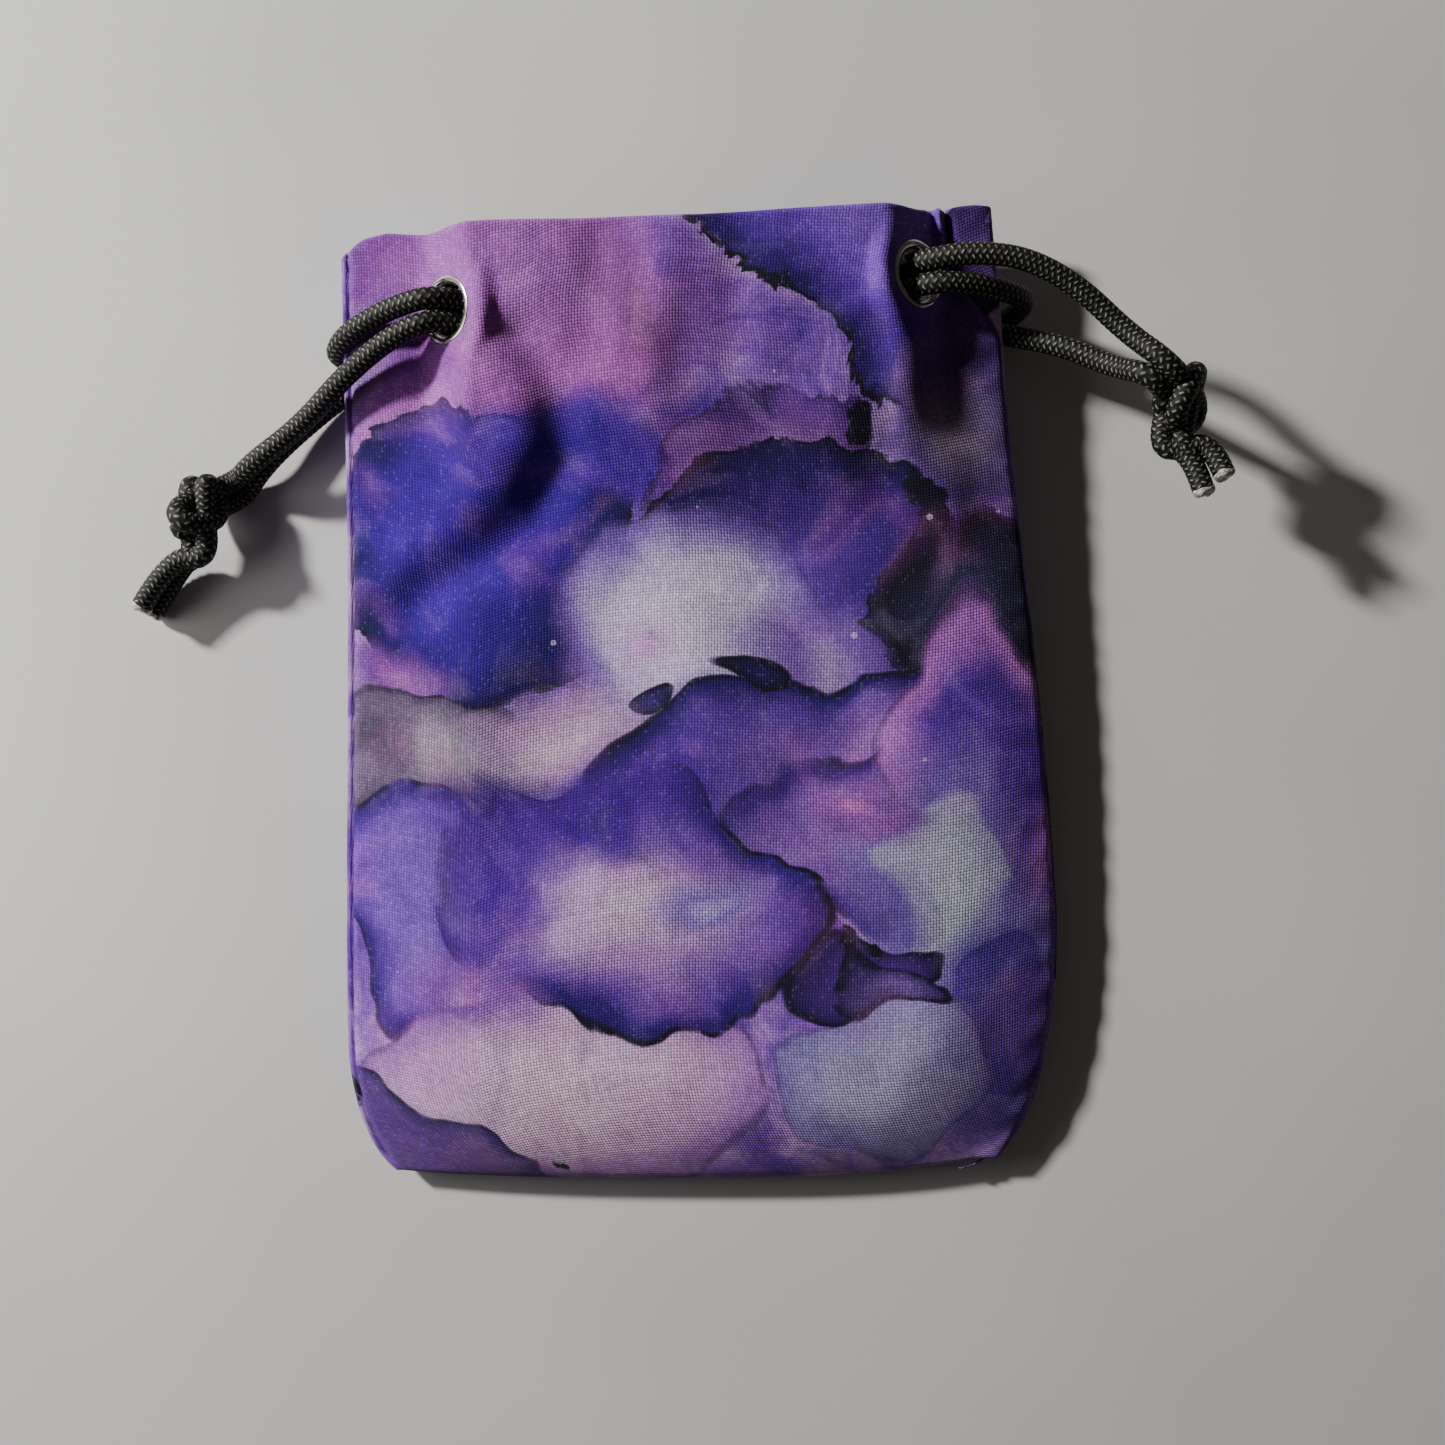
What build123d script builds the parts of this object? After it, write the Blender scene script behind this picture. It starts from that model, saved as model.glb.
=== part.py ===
from build123d import *
import os
from math import cos, radians, sin, sqrt, tan

# A drawstring bag lying on its back. +X is right, +Y is towards the mouth, +Z is up.
# The origin is under the middle of the bag, on the surface that it lies on. Millimetres.

# Overall size
BAG_LENGTH = 172.0
BAG_WIDTH = 126.0
MOUTH_NARROWING = 13.0      # how much the right edge comes in between its widest place and the mouth
RIGHT_WIDEST_Y = -40.0
MOUTH_SLANT_DEG = 3.05      # the mouth edge is lower on the left

# Rounded bottom corners: how far each reaches along the bottom and up the side
LEFT_CORNER = (12.0, 26.0)
RIGHT_CORNER = (18.0, 38.0)

# Heights. The side seams lie in one plane, which rises towards the mouth.
SEAM_HEIGHT_BOTTOM = 3.5
SEAM_TILT_DEG = 2.3
BODY_TOP = 12.0             # height of the filled-out front below the mouth
MOUTH_RISE = 10.2           # front above the seam plane at the mouth
MOUTH_DROP = 4.8            # back below the seam plane at the mouth
MOUTH_BAND = 36.0           # length of the band at the mouth whose cross section is constant
MOUTH_EASE = 20.0           # length over which the body turns into that band

# Side fins, where front and back lie together, and the slopes between them and the front
LEFT_FIN = 14.0
RIGHT_FIN = 10.1
SLOPE = 9.6
FIN_HALF_THICKNESS = 2.4

# Cloth
FABRIC = 0.6
LINING = 0.5
LAYER_GAP = 0.05
SEAM_ALLOWANCE = 2.5
THREAD_DIAMETER = 0.4
THREAD_INSET = 1.6

# Eyelets and washers
EYELET_BORE = 8.6
EYELET_WALL = 0.35
FLANGE_WIDTH = 1.8          # from the bore to the flange's rim
FLANGE_HEIGHT = 0.8
FLANGE_ROUNDING = 0.35
LIP_REACH = 0.8
LIP_THICKNESS = 0.3
WASHER_WIDTH = 1.4          # from the bore to the washer's rim
WASHER_THICKNESS = 0.5
EYELET_CLEARANCE = 0.05
EYELET_UP_SLOPE = 5.3           # from a side fin's inner edge to the eyelet's centre, across the slope
LEFT_EYELET_DEPTH = 20.5        # from the bag's mouth end to the front eyelet's centre
RIGHT_EYELET_DEPTH = 14.5
BACK_EYELET_SHIFT = -8.0        # the back eyelets sit this much further from the mouth

# Cords
CORD_DIAMETER = 3.8
CORD_GAP = 0.06                 # between the two cords in one eyelet
KNOT_DIAMETER = 11.0
KNOT_LENGTH = 13.4
TIP_LENGTH = 0.9

BOTTOM_Y = -BAG_LENGTH / 2
MOUTH_Y = BAG_LENGTH / 2
LEFT_X = -BAG_WIDTH / 2
RIGHT_X = BAG_WIDTH / 2
CLOTH = FABRIC + LAYER_GAP + LINING
FLANGE_RADIUS = EYELET_BORE / 2 + FLANGE_WIDTH
WASHER_RADIUS = EYELET_BORE / 2 + WASHER_WIDTH
PAST_MOUTH = 5.0


def seam_height(y):
    """Height of the side seams' plane."""
    return SEAM_HEIGHT_BOTTOM + (y - BOTTOM_Y) * tan(radians(SEAM_TILT_DEG))


def corner(y, reach, rise):
    """How far a rounded bottom corner pulls the side edge in at this height up the bag."""
    share = max(0.0, (BOTTOM_Y + rise - y) / rise)
    return reach * (1 - sqrt(1 - share * share))


def left_edge(y):
    return LEFT_X + corner(y, *LEFT_CORNER)


def right_edge(y):
    taper = MOUTH_NARROWING / (MOUTH_Y - RIGHT_WIDEST_Y)
    return RIGHT_X - taper * max(0.0, y - RIGHT_WIDEST_Y) - corner(y, *RIGHT_CORNER)


def station(y, low, high, shoulder, fins=(LEFT_FIN, RIGHT_FIN), slope=SLOPE):
    """A cross section's corners as (x, z), anticlockwise seen from the bottom of the bag."""
    left, right, seam = left_edge(y), right_edge(y), seam_height(y)
    left_foot, right_foot = left + fins[0], right - fins[1]
    return y, [
        (left, seam),
        (left_foot, seam - shoulder),
        (left_foot + slope, low),
        (right_foot - slope, low),
        (right_foot, seam - shoulder),
        (right, seam),
        (right_foot, seam + shoulder),
        (right_foot - slope, high),
        (left_foot + slope, high),
        (left_foot, seam + shoulder),
    ]


def mouth_station(y):
    seam = seam_height(y)
    return station(y, seam - MOUTH_DROP, seam + MOUTH_RISE, FIN_HALF_THICKNESS)


def bottom_station(y, half):
    seam = seam_height(y)
    return station(y, seam - half, seam + half, 0.8 * half)


BAND_START = MOUTH_Y - MOUTH_BAND
BODY_END = BAND_START - MOUTH_EASE
STATIONS = [
    bottom_station(BOTTOM_Y, 0.7),
    bottom_station(BOTTOM_Y + SEAM_ALLOWANCE, 2.3),
    station(BOTTOM_Y + 9, 0.6, 8.0, 2.0),
    station(BOTTOM_Y + 18, 0.0, 10.2, 2.2),
    station(BOTTOM_Y + 36, 0.0, 11.6, FIN_HALF_THICKNESS),
    station(RIGHT_WIDEST_Y, 0.0, BODY_TOP, FIN_HALF_THICKNESS),
    station(BODY_END, 0.0, BODY_TOP + 1.5, FIN_HALF_THICKNESS),
    mouth_station(BAND_START),
    mouth_station(MOUTH_Y + PAST_MOUTH),
]


def inset(corners, depth):
    """The corners of the same outline, with every side moved inwards."""
    moved = []
    for before, here, after in zip(corners[-1:] + corners, corners, corners[1:] + corners[:1]):
        a = Vector(here[0] - before[0], here[1] - before[1]).normalized()
        b = Vector(after[0] - here[0], after[1] - here[1]).normalized()
        inwards = Vector(-a.Y - b.Y, a.X + b.X)
        reach = depth / (inwards.normalized().dot(Vector(-a.Y, a.X)))
        moved.append((here[0] + inwards.normalized().X * reach, here[1] + inwards.normalized().Y * reach))
    return moved


def cross_face(y, corners):
    wire = Wire.make_polygon([Vector(x, y, z) for x, z in corners], close=True)
    return Face(wire)


def hull(depth, bottom_depth):
    """The bag's solid form with its sides moved in by depth and its bottom by bottom_depth."""
    sections = [s for s in STATIONS if s[0] >= BOTTOM_Y + bottom_depth]
    if bottom_depth > 0:
        first_y = BOTTOM_Y + bottom_depth
        sections = [between(first_y)] + [s for s in sections if s[0] > first_y + 0.1]
    return loft([cross_face(y, inset(c, depth)) for y, c in sections], ruled=True)


def between(y):
    """The cross section at any y, between two stations."""
    for (y0, c0), (y1, c1) in zip(STATIONS, STATIONS[1:]):
        if y0 <= y <= y1:
            t = (y - y0) / (y1 - y0)
            return y, [(p[0] + t * (q[0] - p[0]), p[1] + t * (q[1] - p[1])) for p, q in zip(c0, c1)]
    raise ValueError(y)


def facet(x, y, front):
    """Plane on the sloped cloth at x, y: its origin is on the outer face and its z axis points out of the bag."""
    names = {("left", True): (9, 8), ("left", False): (1, 2), ("right", True): (6, 7), ("right", False): (4, 3)}
    low, high = names["left" if x < 0 else "right", front]
    here, there = between(y)[1], between(y + 1.0)[1]
    foot = Vector(here[low][0], y, here[low][1])
    across = Vector(here[high][0] - here[low][0], 0, here[high][1] - here[low][1])
    along = Vector(there[low][0] - here[low][0], 1.0, there[low][1] - here[low][1])
    normal = across.cross(along).normalized()
    if (normal.Z > 0) != front:
        normal = normal * -1
    origin = foot + across * ((x - foot.X) / across.X)
    return Plane(origin=origin, x_dir=along.normalized(), z_dir=normal)


def below_mouth(solid):
    """The solid with everything past the slanted mouth edge cut off."""
    slant = radians(MOUTH_SLANT_DEG)
    corner_point = (right_edge(MOUTH_Y), MOUTH_Y, 0)
    return split(solid, bisect_by=Plane(origin=corner_point, z_dir=(-sin(slant), cos(slant), 0)), keep=Keep.BOTTOM)


def seam_plane():
    tilt = radians(SEAM_TILT_DEG)
    return Plane(origin=(0, BOTTOM_Y, SEAM_HEIGHT_BOTTOM), z_dir=(0, -sin(tilt), cos(tilt)))


def inside_seam(depth, reach):
    """Everything at least this far in from the side and bottom edges, up to reach from the seams' plane."""
    side = [BOTTOM_Y + n * LEFT_CORNER[1] / 6 for n in range(7)] + [MOUTH_Y + PAST_MOUTH]
    other = [BOTTOM_Y + n * RIGHT_CORNER[1] / 6 for n in range(7)] + [RIGHT_WIDEST_Y + 1, MOUTH_Y + PAST_MOUTH]
    outline = [(left_edge(y), y) for y in reversed(side)] + [(right_edge(y), y) for y in other]
    points = [Vector(x, y, seam_height(y)) for x, y in inset(outline, depth)]
    return extrude(Face(Wire.make_polygon(points, close=True)), amount=reach, dir=seam_plane().z_dir, both=True)


def seam_thread():
    """The line of thread that closes both sides and the bottom, as one flat strand inside the cloth."""
    half = THREAD_DIAMETER / 2
    return below_mouth(inside_seam(THREAD_INSET - half, half) - inside_seam(THREAD_INSET + half, half))


def turned(profile, plane):
    """A ring turned about the plane's z axis from (radius, height) corners."""
    face = Face(Wire.make_polygon([Vector(r, 0, z) for r, z in profile], close=True))
    return plane.location * revolve(face, Axis.Z)


def eyelet(plane):
    """Flange outside, barrel through the cloth, lip rolled out over the washer inside."""
    bore = EYELET_BORE / 2
    barrel = bore + EYELET_WALL
    rim = FLANGE_RADIUS
    foot = EYELET_CLEARANCE
    top = foot + FLANGE_HEIGHT
    lip = -CLOTH - 2 * EYELET_CLEARANCE - WASHER_THICKNESS - EYELET_CLEARANCE
    r = FLANGE_ROUNDING
    return turned(
        [
            (bore, lip - LIP_THICKNESS),
            (barrel + LIP_REACH, lip - LIP_THICKNESS),
            (barrel + LIP_REACH, lip),
            (barrel, lip),
            (barrel, foot),
            (rim, foot),
            (rim, top - r),
            (rim - r, top),
            (bore + r, top),
            (bore, top - r),
        ],
        plane,
    )


def washer(plane):
    inner = EYELET_BORE / 2 + EYELET_WALL + EYELET_CLEARANCE
    top = -CLOTH - EYELET_CLEARANCE
    low = top - WASHER_THICKNESS
    return turned([(inner, low), (WASHER_RADIUS, low), (WASHER_RADIUS, top), (inner, top)], plane)


def eyelet_hole(plane):
    radius = EYELET_BORE / 2 + EYELET_WALL + EYELET_CLEARANCE
    return plane.location * Cylinder(radius, 8 * CLOTH)


def washer_room(plane):
    """Room for the washer and the lip, where the lining bends away inside."""
    depth = 3 * WASHER_THICKNESS + 2 * LIP_THICKNESS
    return plane.location * Pos(0, 0, -CLOTH - depth / 2) * Cylinder(WASHER_RADIUS + EYELET_CLEARANCE, depth)


def flange_room(plane):
    """Room for the flange, where the cloth bends up outside."""
    depth = 2 * FLANGE_HEIGHT
    return plane.location * Pos(0, 0, depth / 2) * Cylinder(FLANGE_RADIUS + EYELET_CLEARANCE, depth)


LEFT_EYELET_Y = MOUTH_Y - LEFT_EYELET_DEPTH
RIGHT_EYELET_Y = MOUTH_Y - RIGHT_EYELET_DEPTH
LEFT_EYELET_X = left_edge(LEFT_EYELET_Y) + LEFT_FIN + EYELET_UP_SLOPE
RIGHT_EYELET_X = right_edge(RIGHT_EYELET_Y) - RIGHT_FIN - EYELET_UP_SLOPE
LEFT_FRONT = facet(LEFT_EYELET_X, LEFT_EYELET_Y, True)
RIGHT_FRONT = facet(RIGHT_EYELET_X, RIGHT_EYELET_Y, True)
LEFT_BACK = facet(LEFT_EYELET_X, LEFT_EYELET_Y + BACK_EYELET_SHIFT, False)
RIGHT_BACK = facet(RIGHT_EYELET_X, RIGHT_EYELET_Y + BACK_EYELET_SHIFT, False)

LEFT_CORD = -1      # the left cord lies on the side of each eyelet away from the mouth
RIGHT_CORD = 1
IN_DEPTH = -5.6     # where a cord turns inside the bag, under the cloth's outer face
OUT_HEIGHT = 3.3    # how far a cord stands out of its eyelet before it bends


def in_eyelet(plane, cord, height):
    """A point on a cord's centre line in an eyelet."""
    offset = cord * (CORD_DIAMETER + CORD_GAP) / 2
    point = plane.origin + plane.x_dir * offset + plane.z_dir * height
    return point.X, point.Y, point.Z


def radii(points):
    """The arc at each inner point is as large as its two runs allow."""
    found = []
    for a, b, c in zip(points, points[1:], points[2:]):
        before, after = Vector(b) - Vector(a), Vector(c) - Vector(b)
        half_turn = radians(before.get_angle(after)) / 2
        found.append(0.45 * min(before.length, after.length) / tan(half_turn))
    return found


def cord(name, points):
    """A round cord along straight runs joined by tangent arcs."""
    arcs = radii(points)
    path = FilletPolyline(*points, radius=arcs) if arcs else Line(*points)
    start = Plane(origin=path @ 0, z_dir=path % 0)
    tube = sweep(start * Circle(CORD_DIAMETER / 2), path=path)
    ideal = path.length * 3.14159265 * CORD_DIAMETER**2 / 4
    print(f"{name}: {path.length:.1f} mm long, volume {tube.volume / ideal:.4f} of section x length, radii", end=" ")
    print([round(r, 1) for r in arcs])
    return tube


LEFT_KNOT = Vector(-88.9, 32.4, 6.4)
RIGHT_KNOT = Vector(80.4, 49.9, 18.0)
LEFT_PAIR = Vector(-0.9, 1.05, 1.35)    # from a knot's centre to its front strand
RIGHT_PAIR = Vector(0.9, 1.05, 1.35)

# Inside the bag each cord crosses straight under the front and straight over the back.
RUN_LEFT_X = -26.0
RUN_RIGHT_X = 19.0
RUN_EASE = 8.0          # length over which a cord comes in line with its straight run
FRONT_RUN_HEIGHT = 16.6
BACK_RUN_HEIGHT = 8.2
RUN_RISE = 0.3          # the bag is thicker on the right, where the mouth is further up


def place(base, offset=Vector(0, 0, 0), sign=1):
    point = base + offset * sign
    return point.X, point.Y, point.Z


def run_end(left, right, cord_side, x, front):
    """Where a cord's straight run inside the bag starts or ends."""
    start = Vector(in_eyelet(left, cord_side, 0))
    end = Vector(in_eyelet(right, cord_side, 0))
    share = (x - start.X) / (end.X - start.X)
    height = FRONT_RUN_HEIGHT if front else BACK_RUN_HEIGHT
    return x, start.Y + share * (end.Y - start.Y), height + RUN_RISE * share


def straight_run(cord_side, front):
    left, right = (LEFT_FRONT, RIGHT_FRONT) if front else (LEFT_BACK, RIGHT_BACK)
    return [run_end(left, right, cord_side, x, front) for x in (RUN_LEFT_X, RUN_RIGHT_X)]


def into_bag(eyelet_plane, cord_side, out_height=OUT_HEIGHT):
    """From the straight run inside the bag, through an eyelet and out of it."""
    front = eyelet_plane in (LEFT_FRONT, RIGHT_FRONT)
    ends = straight_run(cord_side, front)
    at_left = eyelet_plane in (LEFT_FRONT, LEFT_BACK)
    near, far = (Vector(p) for p in (ends if at_left else ends[::-1]))
    return [
        place(near),
        place(near, (near - far).normalized(), RUN_EASE),
        in_eyelet(eyelet_plane, cord_side, IN_DEPTH),
        in_eyelet(eyelet_plane, cord_side, out_height),
    ]


ROUTES = {
    "left_front_strand": into_bag(LEFT_FRONT, LEFT_CORD)
    + [
        (-52.5, 61.3, 19.6),
        (-61.7, 54.9, 16.2),
        (-70.5, 46.6, 11.0),
        (-79.9, 40.2, 8.6),
        place(LEFT_KNOT, LEFT_PAIR),
    ],
    "left_back_strand": into_bag(LEFT_BACK, LEFT_CORD)
    + [
        (-53.2, 54.7, 2.1),
        (-62.8, 52.4, 2.6),
        (-71.2, 46.0, 3.2),
        (-78.9, 38.4, 4.6),
        place(LEFT_KNOT, LEFT_PAIR, -1),
    ],
    "right_cord_loop": into_bag(LEFT_FRONT, RIGHT_CORD)
    + [
        (-52.3, 66.2, 18.2),
        (-59.5, 63.6, 15.6),
        (-65.2, 60.9, 12.0),
        (-67.0, 58.9, 6.9),
        (-62.3, 58.4, 2.6),
        (-53.5, 59.4, 2.1),
    ]
    + into_bag(LEFT_BACK, RIGHT_CORD)[::-1],
    "right_front_strand": into_bag(RIGHT_FRONT, RIGHT_CORD)
    + [
        (45.8, 74.1, 21.0),
        (54.5, 73.0, 21.3),
        (63.3, 68.2, 20.6),
        (71.6, 60.6, 19.9),
        place(RIGHT_KNOT, RIGHT_PAIR),
    ],
    "right_back_strand": into_bag(RIGHT_BACK, RIGHT_CORD, 3.0)
    + [
        (44.2, 66.6, 4.7),
        (51.4, 63.6, 6.9),
        (61.5, 60.8, 11.6),
        (70.4, 56.0, 15.0),
        place(RIGHT_KNOT, RIGHT_PAIR, -1),
    ],
    "left_cord_loop": into_bag(RIGHT_FRONT, LEFT_CORD)
    + [
        (45.0, 69.6, 18.4),
        (51.4, 69.0, 15.6),
        (55.6, 68.9, 11.2),
        (55.7, 68.0, 6.3),
        (51.6, 65.4, 2.4),
        (44.6, 62.2, 2.0),
    ]
    + into_bag(RIGHT_BACK, LEFT_CORD)[::-1],
    "left_front_tail": [
        place(LEFT_KNOT, Vector(-1.2, -0.9, 2.0)),
        (-93.9, 24.6, 7.0),
        (-99.6, 15.9, 5.7),
    ],
    "left_back_tail": [
        place(LEFT_KNOT, Vector(-1.0, -1.7, -2.0)),
        (-93.3, 23.6, 3.0),
        (-98.8, 15.0, 2.0),
    ],
    "right_front_tail": [
        place(RIGHT_KNOT, Vector(1.9, 0.4, -0.4)),
        (86.0, 43.2, 17.3),
        (87.6, 37.8, 16.2),
    ],
    "right_back_tail": [
        place(RIGHT_KNOT, Vector(-1.9, -0.4, 0.4)),
        (82.6, 41.8, 17.4),
        (83.9, 34.6, 15.8),
    ],
}
for cord_name, cord_side in (("left", LEFT_CORD), ("right", RIGHT_CORD)):
    ROUTES[f"{cord_name}_cord_front_run"] = straight_run(cord_side, True)
    ROUTES[f"{cord_name}_cord_back_run"] = straight_run(cord_side, False)


def knot(centre, towards):
    """An overhand knot's outer shape: an egg along the doubled cord."""
    half = KNOT_LENGTH / 2
    radius = KNOT_DIAMETER / 2
    profile = make_face([EllipticalCenterArc((0, 0), half, radius, start_angle=0, arc_size=180), Line((-half, 0), (half, 0))])
    egg = revolve(profile, Axis.X)
    return Plane(origin=centre, x_dir=towards, z_dir=Vector(0, 0, 1).cross(towards)).location * egg


def melted_tip(route):
    """The rounded melted end past a tail's last point."""
    last = Vector(route[-1])
    direction = (last - Vector(route[-2])).normalized()
    tip = Cylinder(CORD_DIAMETER / 2, TIP_LENGTH, align=(Align.CENTER, Align.CENTER, Align.MIN))
    tip = fillet(tip.faces().sort_by(Axis.Z)[-1].edges(), TIP_LENGTH * 0.6)
    return Plane(origin=last, z_dir=direction).location * tip


nodes = {}

outer = below_mouth(hull(0, 0)) - hull(FABRIC, SEAM_ALLOWANCE)
lining_depth = FABRIC + LAYER_GAP
lining = below_mouth(hull(lining_depth, SEAM_ALLOWANCE + LAYER_GAP))
lining -= hull(CLOTH, SEAM_ALLOWANCE + LAYER_GAP + LINING)
lining = lining & inside_seam(THREAD_INSET + THREAD_DIAMETER / 2 + LAYER_GAP, BAG_WIDTH)
thread = seam_thread()
nodes["seam_thread"] = thread

for side_name, keep, planes in (
    ("front", Keep.TOP, (LEFT_FRONT, RIGHT_FRONT)),
    ("back", Keep.BOTTOM, (LEFT_BACK, RIGHT_BACK)),
):
    panel = split(outer, bisect_by=seam_plane(), keep=keep) - thread
    inside = split(lining, bisect_by=seam_plane(), keep=keep)
    for plane in planes:
        panel = panel - eyelet_hole(plane) - flange_room(plane) - washer_room(plane)
        inside = inside - eyelet_hole(plane) - washer_room(plane)
    nodes[f"{side_name}_panel"] = panel
    nodes[f"{side_name}_lining"] = inside

for plane_name, plane in (
    ("left_front", LEFT_FRONT),
    ("left_back", LEFT_BACK),
    ("right_front", RIGHT_FRONT),
    ("right_back", RIGHT_BACK),
):
    nodes[f"{plane_name}_eyelet"] = eyelet(plane)
    nodes[f"{plane_name}_washer"] = washer(plane)

nodes["left_knot"] = knot(LEFT_KNOT, Vector(-0.66, -0.75, -0.1))
nodes["right_knot"] = knot(RIGHT_KNOT, Vector(0.55, -0.82, -0.1))

for cord_name, route in ROUTES.items():
    tube = cord(cord_name, route)
    if cord_name.endswith(("strand", "tail")):
        tube = tube - nodes["left_knot" if cord_name.startswith("left") else "right_knot"]
    nodes[cord_name] = tube

for cord_name in ("left", "right"):
    tips = [melted_tip(ROUTES[f"{cord_name}_{side_name}_tail"]) for side_name in ("front", "back")]
    nodes[f"{cord_name}_melted_ends"] = Compound(children=tips)

os.makedirs("parts", exist_ok=True)
for node_name, solid in nodes.items():
    export_step(solid, f"parts/{node_name}.step")
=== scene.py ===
import math

import bpy
import numpy as np
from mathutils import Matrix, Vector


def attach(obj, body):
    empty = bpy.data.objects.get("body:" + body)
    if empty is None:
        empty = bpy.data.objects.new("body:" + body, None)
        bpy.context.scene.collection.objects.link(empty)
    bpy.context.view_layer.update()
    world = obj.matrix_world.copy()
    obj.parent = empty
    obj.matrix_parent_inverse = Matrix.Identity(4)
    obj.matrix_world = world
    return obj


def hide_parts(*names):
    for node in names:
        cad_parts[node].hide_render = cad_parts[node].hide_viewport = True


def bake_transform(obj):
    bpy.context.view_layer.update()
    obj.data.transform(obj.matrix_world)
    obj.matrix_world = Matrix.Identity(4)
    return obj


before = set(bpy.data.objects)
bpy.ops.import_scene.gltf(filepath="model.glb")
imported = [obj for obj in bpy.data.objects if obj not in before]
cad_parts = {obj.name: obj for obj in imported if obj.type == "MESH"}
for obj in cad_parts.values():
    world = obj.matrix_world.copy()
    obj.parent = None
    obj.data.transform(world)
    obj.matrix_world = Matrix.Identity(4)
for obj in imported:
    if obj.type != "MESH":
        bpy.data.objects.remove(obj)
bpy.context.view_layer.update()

MM = 0.001

# A drawstring bag lying on its back. +X is right, +Y towards the mouth, +Z up. Sizes are in millimetres here,
# and turn into metres where an object is made.
BOTTOM, TOP = -86.0, 86.0
SPLIT_X = -4.0          # the cloth is made in two halves, which meet here
FIN = {"left": 14.0, "right": 10.1}
EDGE_ROUND = 0.95       # half the thickness of the side seams
STRIP = 1.4             # how much of the back shows past the left seam
FABRIC = 0.6
LINING_DEPTH, LINING = 0.75, 0.4
CORD = 3.8
STRANDS = 6             # in each direction of a cord's braid
BRAID_PITCH = 1.15      # along the cord, from one crossing of the braid to the next
HOLE_RADIUS = 5.15      # of the hole in the cloth for an eyelet, to the middle of a face
FLAT_RADIUS, FLAT_FADE = 6.3, 5.5       # how far the cloth is flat round an eyelet, and the fade after it
LEFT_CORNER, RIGHT_CORNER = (12, 26), (18, 38)      # how far the bottom corners reach in, and up
BODY_HEIGHT = 11.2      # of the front above the table
MOUTH_RISE, MOUTH_DROP = 9.6, 4.9       # at the mouth, the front above the seam and the back below it
STITCH, THREAD_RADIUS, THREAD_INSET = 2.4, 0.2, 1.6
CLOTH_STEP, HALF_WIDTH = 0.8, 58.0      # of the cloth's grid, and of one half of the bag
TURN_STEP = 0.4         # by which the print moves on with each row of the turned-in edge

# Texture coordinates: millimetres to one unit of the print, of the weave and along a cord
PRINT_UNIT, WEAVE_UNIT, CORD_UNIT = TOP - BOTTOM, 100.0, 10.0

# Each eyelet: its centre on the outer face of the cloth and the direction out of the bag
EYELETS = {
    "left_front": ((-43.7, 65.5, 16.291), (-0.6303, -0.0312, 0.7757)),
    "left_back": ((-43.7, 57.5, 5.539), (-0.2424, 0.0389, -0.9694)),
    "right_front": ((36.1, 71.5, 16.529), (0.6302, 0.0339, 0.7757)),
    "right_back": ((36.1, 63.5, 5.574), (0.2420, 0.0639, -0.9682)),
}

# ---- camera
camera_data = bpy.data.cameras.new("camera")
camera_data.sensor_width = 36
camera_data.lens = 41.4
camera_data.clip_start = 0.01
camera = bpy.data.objects.new("camera", camera_data)
camera.location = (0.0031, -0.0049, 0.3)
bpy.context.scene.collection.objects.link(camera)
bpy.context.scene.camera = camera

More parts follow.
